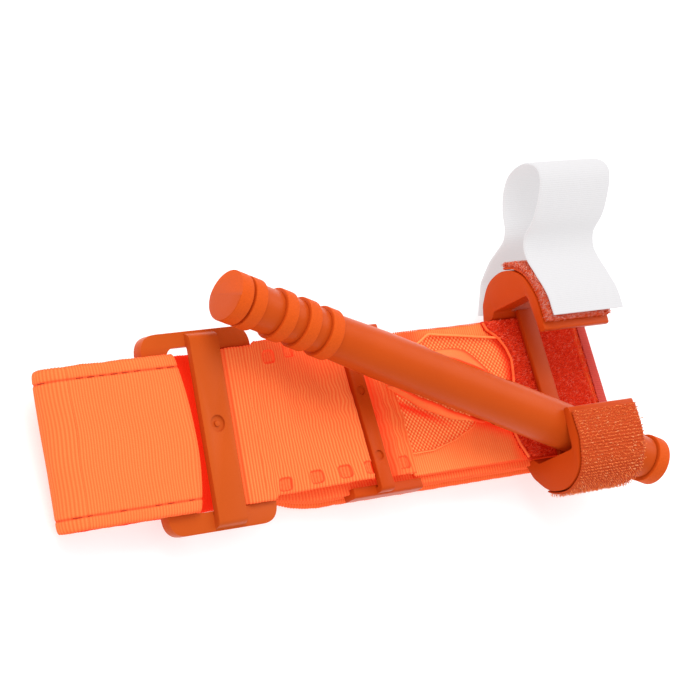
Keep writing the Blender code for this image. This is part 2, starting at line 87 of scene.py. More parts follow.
# Windlass rod
ROD_LENGTH = 0.1461
GRIP_RADIUS = 0.0056
BODY_RADIUS = 0.0061
BODY_SPAN = (0.0480, 0.1080)
RING_RADIUS = 0.00645
RING_WIDTH = 0.0035
RING_RIGHT_EDGES = (0.0081, 0.0178, 0.0250, 0.0322)
END_DISC_WIDTH = 0.0038
ROD_SHIFT = -0.0026
ROD_HEADING = math.radians(-21.9)
ROD_DIP = math.radians(4.7)
PARTING = math.radians(71.5)
PARTING_DRAFT = math.radians(4)
ROD_SEGMENTS = 96
ROD_AXIS_Z = RECORD_JOINTS["windlass_swing"]["pos_m"][2]
SLOT_LENGTH = 0.0300
SLOT_HEIGHT = 0.0035
SLOT_TURN = math.radians(-32)

# Buckle group, in its own frame: x from the frame's left edge, z from the frame's middle
BUCKLE_ROLL = math.radians(9.6)
BUCKLE_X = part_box("slider_buckle")[0].x
BUCKLE_Z = 0.0118
BUCKLE_LENGTH = 0.0327
BUCKLE_WIDTH = 0.0484
FRAME_THICKNESS = 0.0030
SLOT_HALF_LENGTH = 0.0206
LEFT_SLOT_X = (0.0072, 0.0134)
RIGHT_SLOT_X = (0.0218, 0.0252)
CENTRE_BAR_FACE_Z = 0.0035
CENTRE_BAR_HALF_FACE = 0.0228
FOLD_CENTRE_X = -0.0222
FOLD_CENTRE_Z = -0.0029
INNER_FOLD_RADIUS = 0.00215
OUTER_FOLD_RADIUS = 0.0045
BAR_WRAP_RADIUS = 0.0028
SLEEVE_WRAP_RADIUS = 0.00235
BUCKLE_PLACE = Matrix.Translation((BUCKLE_X, 0, BUCKLE_Z)) @ Matrix.Rotation(BUCKLE_ROLL, 4, "X")

# Edges sharper than this are rounded on the mouldings
SHARP_DEG = 40

# Clip hooks: half outlines, as distance from the middle plane, height and corner radius
HOOK_OUTLINE = (
    (0.0104, 0.0290, 0.0008), (0.0192, 0.0291, 0.0120), (0.0266, 0.0268, 0.0120), (0.0303, 0.0205, 0.0120),
    (0.0290, 0.0134, 0.0120), (0.0240, 0.0092, 0.0040), (0.0175, 0.0069, 0.0), (0.0175, 0.0086, 0.0),
    (0.0195, 0.0086, 0.0), (0.0195, 0.0110, 0.0004), (0.0211, 0.0127, 0.0008), (0.0210, 0.0262, 0.0012),
    (0.0104, 0.0271, 0.0008),
)
POCKET_OUTLINE = (
    (0.0199, 0.0122, 0.0), (0.0264, 0.0123, 0.0030), (0.0278, 0.0190, 0.0040), (0.0262, 0.0254, 0.0035),
    (0.0199, 0.0264, 0.0),
)
HOOK_RIB_LENGTH = 0.0065
SKIN_GAP = 0.0003
NEAR_TAPE_SPAN = (0.0014, 0.0310)
FAR_TAPE_SPAN = (0.0020, 0.0235)

# Stitching of the loop
STITCH_PITCH = 0.0032
STITCH_INSET = 0.0031

# Sleeve: the welds' half size and middles (x, y), and the window's outline (x, y, corner radius)
WELD_HALF = (0.0019, 0.0016)
WELDS = ((-0.0551, -0.0166), (-0.0455, -0.0162), (-0.0368, -0.0162), (-0.0290, -0.0162), (-0.0150, -0.0160),
         (-0.0537, 0.0148), (-0.0458, 0.0158), (-0.0370, 0.0162), (-0.0150, 0.0150))
WINDOW = ((-0.0150, -0.0132, 0.0), (-0.0036, -0.0130, 0.0080), (0.0045, -0.0112, 0.0080),
          (0.0120, -0.0084, 0.0060), (0.0168, -0.0040, 0.0040), (0.0260, 0.0010, 0.0040),
          (0.0330, 0.0030, 0.0), (0.0330, 0.0136, 0.0), (0.0280, 0.0144, 0.0060), (0.0056, 0.0174, 0.0030),
          (0.0024, 0.0158, 0.0020), (-0.0080, 0.0110, 0.0030), (-0.0150, 0.0100, 0.0))
SLEEVE_TOP_LENGTH = 0.050
MESH_PITCH = 0.00064
MESH_HALF_WIDTH = HALF_BAND - 0.0012

# Gathered climbs of the inner band, by side: -1 near, 1 far
CLIMB_SKEW = {-1: 1.4, 1: 1.2}
CLIMB_SPREAD = {-1: 0.6, 1: 0.35}
CLIMB_SLIDE = {-1: 0.0, 1: 0.0080}
CLIMB_HALF = 0.0145
CLIMB_LENGTH = 0.0120
CLIMB_RIB = 0.00095
SLOT_BAND_WIDTH = 0.0280
SLOT_BAND_LENGTH = 0.0112

# Hook and loop tapes
TAPE_THICKNESS = 0.0007
TAPE_RIB = 0.0008
PATCH_LEFT_X = 0.0212
PATCH_RIGHT_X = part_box("loop_patch")[1].x + 0.0008
PILE_COUNT = 16000
HOOK_ROWS = 36
HOOK_PITCH = 0.00074
SELVAGE_RIB = 0.00055

# Time strap
STRAP_THICKNESS = 0.0007
STRAP_LEFT_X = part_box("time_strap")[0].x
STRAP_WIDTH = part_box("time_strap")[1].x - STRAP_LEFT_X
STRAP_RIB = 0.00055

# Shared by everything random, so the order of the calls matters
CHANCE = np.random.default_rng(11)


# ---------------------------------------------------------------- node materials

class Nodes:
    """A material's node tree with short calls for adding and joining nodes."""

    def __init__(self, name, roughness):
        self.material = bpy.data.materials.new(name)
        self.material.use_nodes = True
        self.tree = self.material.node_tree
        self.shader = self.tree.nodes["Principled BSDF"]
        self.shader.inputs["Roughness"].default_value = roughness

    def add(self, kind, **settings):
        node = self.tree.nodes.new(kind)
        for key, value in settings.items():
            if key in node.inputs:
                node.inputs[key].default_value = value
            else:
                setattr(node, key, value)
        return node

    def join(self, source, target):
        self.tree.links.new(source, target)

    def math(self, operation, a, b=None):
        node = self.tree.nodes.new("ShaderNodeMath")
        node.operation = operation
        for socket, value in zip(node.inputs, (a, b)):
            if value is None:
                continue
            if isinstance(value, (int, float)):
                socket.default_value = value
            else:
                self.join(value, socket)
        return node.outputs[0]

    def mix(self, factor, low, high):
        node = self.tree.nodes.new("ShaderNodeMix")
        node.data_type = "RGBA"
        for socket, value in ((node.inputs[0], factor), (node.inputs[6], low), (node.inputs[7], high)):
            if isinstance(value, tuple):
                socket.default_value = (*value, 1.0)
            elif isinstance(value, (int, float)):
                socket.default_value = value
            else:
                self.join(value, socket)
        return node.outputs[2]

    def noise(self, scale, detail=3.0, vector=None):
        node = self.add("ShaderNodeTexNoise", Scale=scale, Detail=detail)
        if vector is None:
            vector = self.add("ShaderNodeTexCoord").outputs["Object"]
        self.join(vector, node.inputs["Vector"])
        return node.outputs["Fac"]

    def half_wave(self, coordinate, pitch):
        """A cosine of a coordinate, from 0 to 1, at its highest at each whole pitch."""
        swung = self.math("COSINE", self.math("MULTIPLY", coordinate, 2 * math.pi / pitch))
        return self.math("ADD", self.math("MULTIPLY", swung, 0.5), 0.5)

    def weave_place(self):
        """Millimetres along and across the webbing, from the weave map."""
        place = self.add("ShaderNodeUVMap", uv_map="weave").outputs["UV"]
        parts = self.add("ShaderNodeSeparateXYZ")
        self.join(place, parts.inputs[0])
        return parts.outputs["X"], parts.outputs["Y"]

    def attribute(self, name):
        return self.add("ShaderNodeAttribute", attribute_name=name).outputs["Fac"]

    def bump(self, height, distance, strength=1.0):
        node = self.add("ShaderNodeBump", Strength=strength, Distance=distance)
        self.join(height, node.inputs["Height"])
        self.join(node.outputs["Normal"], self.shader.inputs["Normal"])

    def colour(self, socket):
        self.join(socket, self.shader.inputs["Base Color"])

    def glow(self, colour, strength=1.0):
        """A constant glow, or one from a socket."""
        if isinstance(colour, tuple):
            self.shader.inputs["Emission Color"].default_value = (*colour, 1.0)
        else:
            self.join(colour, self.shader.inputs["Emission Color"])
        self.shader.inputs["Emission Strength"].default_value = strength

    def specular(self, level):
        self.shader.inputs["Specular IOR Level"].default_value = level


def webbing_material(name, crest, valley, rib, glow=(0.0, 0.0, 0.0), crease=(0.70, 0.030, 0.008),
                     painted_crease_glow=(0.42, 0.010, 0.002)):
    """Ribbed weave with an even painted glow (none by default), that turns to a painted red crease shade and
    a stronger painted glow where the cloth is folded or shaded.
    """
    nodes = Nodes(name, 0.8)
    along, across = nodes.weave_place()
    ribs = nodes.half_wave(along, rib * 1000)
    yarns = nodes.half_wave(across, 0.42)
    soft = nodes.noise(900.0, 2.0)
    broad = nodes.noise(90.0, 2.0)
    height = nodes.math("ADD", nodes.math("MULTIPLY", yarns, 0.25), nodes.math("MULTIPLY", soft, 0.7))
    shade = nodes.math("MULTIPLY", ribs, nodes.math("ADD", nodes.math("MULTIPLY", yarns, 0.2), 0.8))
    tone = nodes.mix(shade, valley, crest)
    worn = nodes.mix(nodes.math("MULTIPLY", broad, 0.3), tone, valley)
    # The crease attribute marks where red shade and a stronger glow are painted.
    painted_shade_mask = nodes.attribute("crease")
    nodes.colour(nodes.mix(painted_shade_mask, worn, crease))
    nodes.bump(height, 0.00010, 0.6)
    nodes.specular(0.12)
    # Painted glow: the even one, and the stronger one in the painted crease shade.
    nodes.glow(nodes.mix(painted_shade_mask, glow, painted_crease_glow))
    return nodes.material


def mesh_material(name, crest, valley, pitch):
    """Open basket weave: pale crossings in a diagonal grid over darker yarn, with a painted glow that is
    stronger on the crossings, and painted red shade and glow where the crease attribute is set.
    """
    nodes = Nodes(name, 0.75)
    x, y = nodes.weave_place()
    along = nodes.math("COSINE", nodes.math("MULTIPLY", x, math.pi / pitch))
    across = nodes.math("COSINE", nodes.math("MULTIPLY", y, math.pi / pitch))
    knots = nodes.math("ADD", nodes.math("MULTIPLY", nodes.math("MULTIPLY", along, across), 0.5), 0.5)
    sharp = nodes.math("POWER", knots, 2.0)
    tone = nodes.mix(sharp, valley, crest)
    soft = nodes.noise(1400.0, 2.0)
    painted_shade_mask = nodes.attribute("crease")
    worn = nodes.mix(nodes.math("MULTIPLY", soft, 0.25), tone, valley)
    # Painted red shade where the crease attribute is set.
    nodes.colour(nodes.mix(painted_shade_mask, worn, (0.70, 0.030, 0.008)))
    nodes.bump(nodes.math("ADD", sharp, nodes.math("MULTIPLY", soft, 0.4)), 0.0002, 0.8)
    nodes.specular(0.12)
    # Painted glow that lifts the weave's shade, stronger on the crossings and redder in the painted crease
    # shade.
    painted_glow = nodes.mix(sharp, (0.26, 0.030, 0.006), (0.40, 0.220, 0.080))
    nodes.glow(nodes.mix(painted_shade_mask, painted_glow, (0.34, 0.012, 0.003)))
    return nodes.material


def plastic_material(name, colour, dark):
    """Satin moulded plastic with a fine grain, faint flow marks, paler rougher specks where the crease
    attribute is set, and a faint painted warm glow.
    """
    roughness = 0.34
    nodes = Nodes(name, roughness)
    flow = nodes.noise(60.0, 4.0)
    grain = nodes.noise(2600.0, 2.0)
    ring_top_mask = nodes.attribute("crease")
    speck = nodes.math("MULTIPLY", ring_top_mask, nodes.math("ADD", nodes.math("MULTIPLY", grain, 1.1), 0.05))
    nodes.colour(nodes.mix(speck, nodes.mix(flow, colour, dark), tuple(1.25 * c for c in colour)))
    rough = nodes.math("ADD", nodes.math("MULTIPLY", flow, 0.16), roughness - 0.06)
    rough = nodes.math("ADD", rough, nodes.math("MULTIPLY", ring_top_mask, 0.25))
    nodes.join(rough, nodes.shader.inputs["Roughness"])
    nodes.bump(grain, 0.00006, 0.45)
    nodes.specular(0.15)
    nodes.shader.inputs["Specular Tint"].default_value = (1.0, 0.42, 0.20, 1.0)
    # A faint painted glow that warms the plastic's shade.
    nodes.glow((0.035, 0.0015, 0.0))
    return nodes.material


def fibre_material(name, low, high, pale, share):
    """Nylon fibres: each strand takes its own tone, and a share of them is pale; a faint painted red glow
    lifts their shade.
    """
    nodes = Nodes(name, 0.55)
    own = nodes.add("ShaderNodeNewGeometry").outputs["Random Per Island"]
    tone = nodes.mix(own, low, high)
    picked = nodes.math("GREATER_THAN", own, 1.0 - share)
    nodes.colour(nodes.mix(picked, tone, pale))
    nodes.specular(0.2)
    # Painted glow that lifts the fibres' shade.
    nodes.glow((0.12, 0.004, 0.001))
    return nodes.material


def thread_material(name, colour):
    nodes = Nodes(name, 0.6)
    twist = nodes.noise(3000.0, 2.0)
    nodes.colour(nodes.mix(twist, colour, tuple(0.6 * c for c in colour)))
    nodes.bump(twist, 0.00005)
    nodes.specular(0.1)
    return nodes.material


def floor_material():
    nodes = Nodes("pale_floor", 0.7)
    cloud = nodes.noise(3.0, 2.0)
    nodes.colour(nodes.mix(cloud, (0.55, 0.55, 0.555), (0.57, 0.57, 0.57)))
    nodes.glow((1.0, 1.0, 1.0), 0.55)
    return nodes.material


# ---------------------------------------------------------------- shapes

def add_object(name, data):
    obj = bpy.data.objects.new(name, data)
    bpy.context.scene.collection.objects.link(obj)
    return obj


def link(name, data, material):
    obj = add_object(name, data)
    obj.data.materials.append(material)
    return obj


def mesh_from_bmesh(name, bm, place=None):
    """A mesh from a bmesh, which is freed, moved to its place if one is given."""
    mesh = bpy.data.meshes.new(name)
    bm.to_mesh(mesh)
    bm.free()
    if place is not None:
        mesh.transform(place)
    return mesh


def rounded(corners, segments=5):
    """Replace each corner (u, v, radius) of a closed outline with an arc of that radius."""
    points = []
    count = len(corners)
    for index, (u, v, radius) in enumerate(corners):
        corner = Vector((u, v))
        before = Vector(corners[index - 1][:2]) - corner
        after = Vector(corners[(index + 1) % count][:2]) - corner
        if radius == 0:
            points.append(corner)
            continue
        reach = min(radius / math.tan(before.angle(after) / 2), 0.48 * before.length, 0.48 * after.length)
        start = corner + before.normalized() * reach
        finish = corner + after.normalized() * reach
        for step in range(segments + 1):
            t = step / segments
            points.append(start.lerp(corner, t).lerp(corner.lerp(finish, t), t))
    return points


def smooth_path(points, steps=6):
    """A Catmull-Rom curve through the points, with `steps` spans between each two."""
    points = [Vector(point) for point in points]
    padded = [2 * points[0] - points[1], *points, 2 * points[-1] - points[-2]]
    result = []
    for i in range(1, len(padded) - 2):
        a, b, c, d = padded[i - 1:i + 3]
        for step in range(steps):
            t = step / steps
            result.append(0.5 * ((2 * b) + (c - a) * t + (2 * a - 5 * b + 4 * c - d) * t * t
                                 + (3 * b - a - 3 * c + d) * t ** 3))
    result.append(points[-1])
    return result


def arc(centre, radius, start_deg, end_deg, steps=16):
    angles = [math.radians(start_deg + (end_deg - start_deg) * i / steps) for i in range(steps + 1)]
    return [Vector((centre[0] + radius * math.cos(a), centre[1] + radius * math.sin(a))) for a in angles]


def outline_mesh(loops, depth, place):
    """A closed mesh of flat outlines, the first outer and the rest holes, extruded and placed."""
    curve = bpy.data.curves.new("outline", "CURVE")
    curve.dimensions = "2D"
    curve.fill_mode = "BOTH"
    curve.extrude = depth / 2
    for loop in loops:
        spline = curve.splines.new("POLY")
        spline.points.add(len(loop) - 1)
        spline.use_cyclic_u = True
        for point, (u, v) in zip(spline.points, loop):
            point.co = (u, v, 0, 1)
    drawing = add_object("outline", curve)
    bpy.context.view_layer.update()
    evaluated = drawing.evaluated_get(bpy.context.evaluated_depsgraph_get())
    bm = bmesh.new()
    bm.from_mesh(bpy.data.meshes.new_from_object(evaluated))
    bmesh.ops.remove_doubles(bm, verts=bm.verts, dist=0.00001)
    bmesh.ops.recalc_face_normals(bm, faces=bm.faces)
    bpy.data.objects.remove(drawing, do_unlink=True)
    return mesh_from_bmesh("outline", bm, place)


def side_plane(x):
    """A placement whose drawing plane is Y-Z, at x, extruded along X."""
    turn = Matrix(((0, 0, 1), (1, 0, 0), (0, 1, 0))).to_4x4()
    return Matrix.Translation((x, 0, 0)) @ turn


def box_mesh(low, high, place=None):
    bm = bmesh.new()
    bmesh.ops.create_cube(bm, size=1.0)
    bmesh.ops.scale(bm, vec=Vector(high) - Vector(low), verts=bm.verts)
    bmesh.ops.translate(bm, vec=(Vector(low) + Vector(high)) / 2, verts=bm.verts)
    return mesh_from_bmesh("box", bm, place)


def cylinder_mesh(radius, low_z, high_z, place, segments):
    bm = bmesh.new()
    bmesh.ops.create_cone(bm, cap_ends=True, segments=segments, radius1=radius, radius2=radius,
                          depth=high_z - low_z)
    bmesh.ops.translate(bm, vec=(0, 0, (low_z + high_z) / 2), verts=bm.verts)
    return mesh_from_bmesh("cylinder", bm, place)


def settle(obj):
    """Replace an object's modifiers by the mesh that they make."""
    bpy.context.view_layer.update()
    mesh = bpy.data.meshes.new_from_object(obj.evaluated_get(bpy.context.evaluated_depsgraph_get()))
    obj.modifiers.clear()
    obj.data = mesh


def only_material(obj, material):
    obj.data.materials.clear()
    obj.data.materials.append(material)


def combine(obj, operation, meshes):
    """Add a boolean modifier to an object for each mesh, and return the helper objects that hold them."""
    tools = []
    for mesh in meshes:
        tool = add_object("tool", mesh)
        boolean = obj.modifiers.new("boolean", "BOOLEAN")
        boolean.operation = operation
        boolean.object = tool
        tools.append(tool)
    return tools


def discard(objects):
    for obj in objects:
        bpy.data.objects.remove(obj, do_unlink=True)


def thicken(obj, thickness, offset, material):
    """Give a surface a real thickness, one material and smooth shading."""
    solidify = obj.modifiers.new("solidify", "SOLIDIFY")
    solidify.thickness = thickness
    solidify.offset = offset
    settle(obj)
    only_material(obj, material)
    obj.data.shade_smooth()


def moulding(name, base, joined, cut, bevel, material):
    """A plastic piece: a base mesh with others joined to it or cut from it, and rounded edges."""
    obj = link(name, base, material)
    tools = combine(obj, "UNION", joined) + combine(obj, "DIFFERENCE", cut)
    settle(obj)
    discard(tools)
    rounding = obj.modifiers.new("bevel", "BEVEL")
    rounding.width = bevel
    rounding.segments = 3
    rounding.limit_method = "ANGLE"
    rounding.angle_limit = math.radians(SHARP_DEG)
    settle(obj)
    only_material(obj, material)
    smooth(obj, SHARP_DEG)
    return obj


def smooth(obj, angle):
    obj.data.shade_smooth()
    obj.data.set_sharp_from_angle(angle=math.radians(angle))


def grid_faces(rows, columns):
    """Quads of a grid of vertices, rows by columns, as an array."""
    first = (np.arange(rows - 1)[:, None] * columns + np.arange(columns - 1)[None, :]).ravel()
    return np.stack([first, first + 1, first + columns + 1, first + columns], axis=1)


def mesh_from_arrays(name, points, faces, weave):
    """A mesh with a weave map: each vertex's millimetres along and across the webbing."""
    mesh = bpy.data.meshes.new(name)
    mesh.from_pydata(points.tolist(), [], faces.tolist())
    mesh.validate()
    layer = mesh.uv_layers.new(name="weave")
    corner = np.zeros(len(mesh.loops), np.int32)
    mesh.loops.foreach_get("vertex_index", corner)
    layer.data.foreach_set("uv", weave[corner].astype(np.float32).ravel())
    return mesh


def distances(points):
    """The distance along a path to each of its points."""
    return np.concatenate([[0], np.cumsum(np.linalg.norm(np.diff(points, axis=0), axis=1))])


def along_path(centres, sides, step):
    """Even samples of a path and of the direction across it, with the distance of each."""
    centres = np.array([list(c) for c in centres], float)
    sides = np.array([list(s) for s in sides], float)
    spans = np.linalg.norm(np.diff(centres, axis=0), axis=1)
    keep = np.concatenate([[True], spans > 1e-7])
    centres, sides = centres[keep], sides[keep]
    distance = distances(centres)
    samples = np.linspace(0, distance[-1], int(distance[-1] / step) + 1)
    centre = np.stack([np.interp(samples, distance, centres[:, k]) for k in range(3)], axis=1)
    side = np.stack([np.interp(samples, distance, sides[:, k]) for k in range(3)], axis=1)
    window = np.ones(5) / 5
    for k in range(3):
        padded = np.pad(centre[:, k], 2, mode="reflect", reflect_type="odd")
        centre[:, k] = np.convolve(padded, window, mode="valid")
    return centre, side / np.linalg.norm(side, axis=1, keepdims=True), samples


def ribbon(name, centres, sides, material, thickness, half_width=None, rib=BAND_RIB, rib_height=0.00004,
           columns=16, relief=None, ragged=0.00010, sway=None, crease=None):
    """Woven tape along a path: ribs across it, rounded selvages and two real faces.

    relief(distance, across) raises both faces and sway(distance, across) moves them along the tape, in
    metres; crease(distance, across) is how deep the painted red shade is; across is the distance from the
    middle.
    """
    half_width = HALF_BAND if half_width is None else half_width
    centre, side, distance = along_path(centres, sides, rib / 5)
    tangent = np.gradient(centre, axis=0)
    tangent /= np.linalg.norm(tangent, axis=1, keepdims=True)
    normal = np.cross(tangent, side)
    normal /= np.linalg.norm(normal, axis=1, keepdims=True)
    v = np.sin(np.linspace(-1, 1, columns + 1) * math.pi / 2)
    v = 0.35 * v + 0.65 * np.linspace(-1, 1, columns + 1)
    profile = np.sqrt(np.clip(1 - np.abs(v) ** 26 * 0.85, 0.05, 1))
    ribs = rib_height * np.cos(2 * math.pi * distance / rib)
    edge = ragged * (np.cos(2 * math.pi * distance / rib) * 0.6 + smooth_noise(distance, 0.006, len(name)))
    reach = v[None, :] * (half_width + edge[:, None] * np.abs(v[None, :]) ** 8)
    lift = np.zeros_like(reach)
    if relief is not None:
        lift = relief(distance[:, None], reach)
    body = thickness / 2 * profile[None, :] + ribs[:, None] * profile[None, :]
    flat = centre[:, None, :] + side[:, None, :] * reach[:, :, None]
    if sway is not None:
        flat = flat + tangent[:, None, :] * sway(distance[:, None], reach)[:, :, None]
    top = flat + normal[:, None, :] * (lift + body)[:, :, None]
    low = flat + normal[:, None, :] * (lift - body)[:, :, None]
    ring = np.concatenate([top, low[:, ::-1]], axis=1)
    rows, count = ring.shape[:2]
    closed = np.concatenate([ring, ring[:, :1]], axis=1)
    points = closed[:, :-1].reshape(-1, 3)
    first = np.arange(rows - 1)[:, None] * count
    here = np.arange(count)[None, :]
    there = (np.arange(count)[None, :] + 1) % count
    faces = np.stack([first + here, first + there, first + count + there, first + count + here], axis=2)
    faces = faces.reshape(-1, 4)
    half = count // 2
    cap = np.array([[i, i + 1, count - 2 - i, count - 1 - i] for i in range(half - 1)])
    last = (rows - 1) * count
    faces = np.concatenate([faces, cap[:, ::-1], cap + last])
    across = np.concatenate([v, v[::-1]]) * half_width * 1000
    weave = np.stack([np.repeat(distance * 1000, count), np.tile(across, rows)], axis=1)
    obj = link(name, mesh_from_arrays(name, points, faces, weave), material)
    outward(obj.data)
    if crease is not None:
        # Painted red shade, stored as the crease attribute.
        depth = np.clip(crease(distance[:, None], reach), 0, 1)
        colour_creases(obj, np.concatenate([depth, depth[:, ::-1]], axis=1).ravel())
    obj.data.shade_smooth()
    obj["path_length"] = float(distance[-1])
    return obj


def colour_creases(obj, depth):
    # The crease attribute: painted red shade on the cloth, and the paler ring tops on the rod.
    layer = obj.data.attributes.new("crease", "FLOAT", "POINT")
    layer.data.foreach_set("value", np.ascontiguousarray(depth, dtype=np.float32))


def outward(mesh):
    """Turn a closed mesh's faces outwards."""
    bm = bmesh.new()
    bm.from_mesh(mesh)
    bmesh.ops.recalc_face_normals(bm, faces=bm.faces)
    bm.to_mesh(mesh)
    bm.free()


def smooth_noise(distance, scale, seed):
    """Gentle random waves along a distance, from about -1 to 1."""
    samples = np.asarray(distance, float)
    waves = np.zeros_like(samples)
    chance = np.random.default_rng(seed)
    for _ in range(5):
        waves += np.cos(2 * math.pi * samples / (scale * chance.uniform(0.6, 2.2)) + chance.uniform(0, 6.3))
    return waves / 5


def tube(name, points, radius, material, flatten=None):
    """A round strand through the points, pressed towards a height if flatten is (height, share)."""
    curve = bpy.data.curves.new(name, "CURVE")
    curve.dimensions = "3D"
    curve.bevel_depth = radius
    curve.bevel_resolution = 3
    curve.use_fill_caps = True
    spline = curve.splines.new("POLY")
    spline.points.add(len(points) - 1)
    for point, place in zip(spline.points, points):
        point.co = (*place, 1)
    obj = link(name, curve, material)
    settled = bpy.data.meshes.new_from_object(obj.evaluated_get(bpy.context.evaluated_depsgraph_get()))
    bpy.data.objects.remove(obj, do_unlink=True)
    obj = link(name, settled, material)
    only_material(obj, material)
    if flatten is not None:
        centre_z, share = flatten
        for vertex in obj.data.vertices:
            vertex.co.z = centre_z + (vertex.co.z - centre_z) * share
    obj.data.shade_smooth()
    return obj


def join(name, pieces):
    """Join mesh objects into one, keeping the first one's material slots."""
    with bpy.context.temp_override(active_object=pieces[0], selected_editable_objects=pieces):
        bpy.ops.object.join()
    pieces[0].name = name
    return pieces[0]


# ---------------------------------------------------------------- routes of the webbing

def roll_share(x):
    """How far the stack is rolled about X: fully at the buckle, flat from the flange."""
    t = min(max((FLANGE_LEFT_X - x) / (FLANGE_LEFT_X - STACK_LEFT_X), 0.0), 1.0)
    return t * t * (3 - 2 * t)


def stack_points(points, buckle_z, flat_z, slide=0.0, aside=0.0):
    """Places and directions across for (x, raise) points of a layer that untwists from the buckle."""
    centres, sides = [], []
    for x, lift in points:
        t = roll_share(x)
        roll = BUCKLE_ROLL * t
        height = flat_z * (1 - t) + (BUCKLE_Z + buckle_z) * t + lift
        y = -buckle_z * math.sin(roll) * t + loose(slide, x) + aside
        centres.append((x, y, height))
        sides.append((0, math.cos(roll), math.sin(roll)))
    return centres, sides


def buckle_points(path):
    """Places and directions across for (x, z) points in the buckle's own frame."""
    turn = BUCKLE_PLACE.to_3x3()
    centres = [BUCKLE_PLACE @ Vector((x, 0, z)) for x, z in path]
    return centres, [turn @ Vector((0, 1, 0))] * len(path)


def flat_points(path):
    """Places and directions across for (x, z) points of a flat layer."""
    return [(x, 0, z) for x, z in path], [(0, 1, 0)] * len(path)


def loose(amount, x):
    """How far a loose layer has slid sideways: not at all at the buckle or at the right fold."""
    left = min(max((x - STACK_LEFT_X - 0.0010) / 0.0140, 0.0), 1.0)
    right = min(max((RIGHT_FOLD_X - 0.0040 - x) / 0.0200, 0.0), 1.0)
    return -amount * left * left * (3 - 2 * left) * right * right * (3 - 2 * right)


def chain(*legs):
    """Legs of a route, each (centres, sides), one after another."""
    centres, sides = [], []
    for leg_centres, leg_sides in legs:
        centres += [tuple(c) for c in leg_centres]
        sides += [tuple(s) for s in leg_sides]
    return centres, sides


def span(start, end, count=14):
    """Evenly spaced (x, raise) points of a layer with no raise."""
    return [(start + (end - start) * i / (count - 1), 0.0) for i in range(count)]


def band_route():
    """The one continuous band, from its tail's end to the fold under the loop patch."""
    centre = (FOLD_CENTRE_X, FOLD_CENTRE_Z)
    inner_top = FOLD_CENTRE_Z + INNER_FOLD_RADIUS
    inner_low = FOLD_CENTRE_Z - INNER_FOLD_RADIUS
    outer_top = FOLD_CENTRE_Z + OUTER_FOLD_RADIUS
    outer_low = FOLD_CENTRE_Z - OUTER_FOLD_RADIUS
    wrap_x = LEFT_SLOT_X[0] + 0.0002
    turn_z = (TAIL_RUN_Z - TAIL_END_Z) / 2
    tail_turn = arc((RIGHT_FOLD_X, TAIL_END_Z + turn_z), turn_z, -90, 90)
    over = [*arc(centre, OUTER_FOLD_RADIUS, 270, 90, 24),
            *smooth_path([(-0.0240, outer_top), (-0.0150, outer_top + 0.0003), (-0.0070, 0.0023),
                          (-0.0010, BAR_WRAP_RADIUS + 0.0001), (wrap_x, BAR_WRAP_RADIUS)])[1:]]
    wrap = arc((wrap_x, 0), BAR_WRAP_RADIUS, 90, -90)[1:]
    under = smooth_path([(wrap_x, -BAR_WRAP_RADIUS), (0.0005, -BAR_WRAP_RADIUS), (-0.0060, -0.0016),
                         (-0.0150, inner_top), (FOLD_CENTRE_X, inner_top)])[1:]
    turn = smooth_path([(RIGHT_FOLD_X, BACK_RUN_Z), (0.0607, 0.0059), (0.0617, 0.0068), (0.0622, 0.0082),
                        (0.0620, 0.0095), (0.0610, 0.0104), (RIGHT_FOLD_X, 0.0107), (0.0570, 0.0107)])
    return chain(
        stack_points(span(FLANGE_LEFT_X + 0.0020, RIGHT_FOLD_X, 24), 0.0, TAIL_END_Z, 0.0018),
        flat_points(tail_turn),
        stack_points(span(RIGHT_FOLD_X, FLANGE_LEFT_X, 24), outer_low, TAIL_RUN_Z, 0.0022),
        stack_points(span(FLANGE_LEFT_X, STACK_LEFT_X), outer_low, TAIL_RUN_Z, 0.0022),
        buckle_points([(0.0320, outer_low), (FOLD_CENTRE_X + 0.0005, outer_low)]),
        buckle_points(over + wrap + under),
        buckle_points(arc(centre, INNER_FOLD_RADIUS, 90, 270)[1:]),
        buckle_points([(0.0320, inner_low)]),
        stack_points(span(STACK_LEFT_X, FLANGE_LEFT_X), inner_low, BACK_RUN_Z, 0.0014),
        stack_points(span(FLANGE_LEFT_X, RIGHT_FOLD_X - 0.0005, 24), inner_low, BACK_RUN_Z, 0.0014),
        flat_points(turn),
    )


def sleeve_route():
    """The sleeve: from its sewn flap, under the crossbar, round the buckle and back beneath."""
    top = [(FLAP_END_X, 0.0005), (-0.0140, 0.0007), (-0.0165, 0.0010), (-0.0180, 0.0008), (-0.0198, 0.0),
           (-0.0256, 0.0), (-0.0262, 0.0009), (-0.0269, 0.0019), (-0.0288, 0.0023), (-0.0325, 0.0018),
           (-0.0390, 0.0010), (-0.0470, 0.0004), (STACK_LEFT_X, 0.0)]
    top = [tuple(p) for p in smooth_path(top, 5)]
    turn = arc((RIGHT_SLOT_X[1] + 0.0002, 0), SLEEVE_WRAP_RADIUS, 90, 270)
    low = -SLEEVE_WRAP_RADIUS
    slide = 0.0016
    return chain(
        stack_points(top, SLEEVE_WRAP_RADIUS, UPPER_PLY_Z, aside=0.0009),
        buckle_points([(0.0320, SLEEVE_WRAP_RADIUS), *turn, (0.0320, low)]),
        stack_points(span(STACK_LEFT_X, FLANGE_LEFT_X), low, LOWER_PLY_Z, slide),
        stack_points(span(FLANGE_LEFT_X, RIGHT_FOLD_X - 0.0005, 24), low, LOWER_PLY_Z, slide),
    )


# ---------------------------------------------------------------- pieces

def rod_frame():
    lean = Matrix.Rotation(ROD_HEADING, 4, "Z") @ Matrix.Rotation(ROD_DIP - math.pi / 2, 4, "Y")
    return Matrix.Translation((0, 0, ROD_AXIS_Z)) @ lean


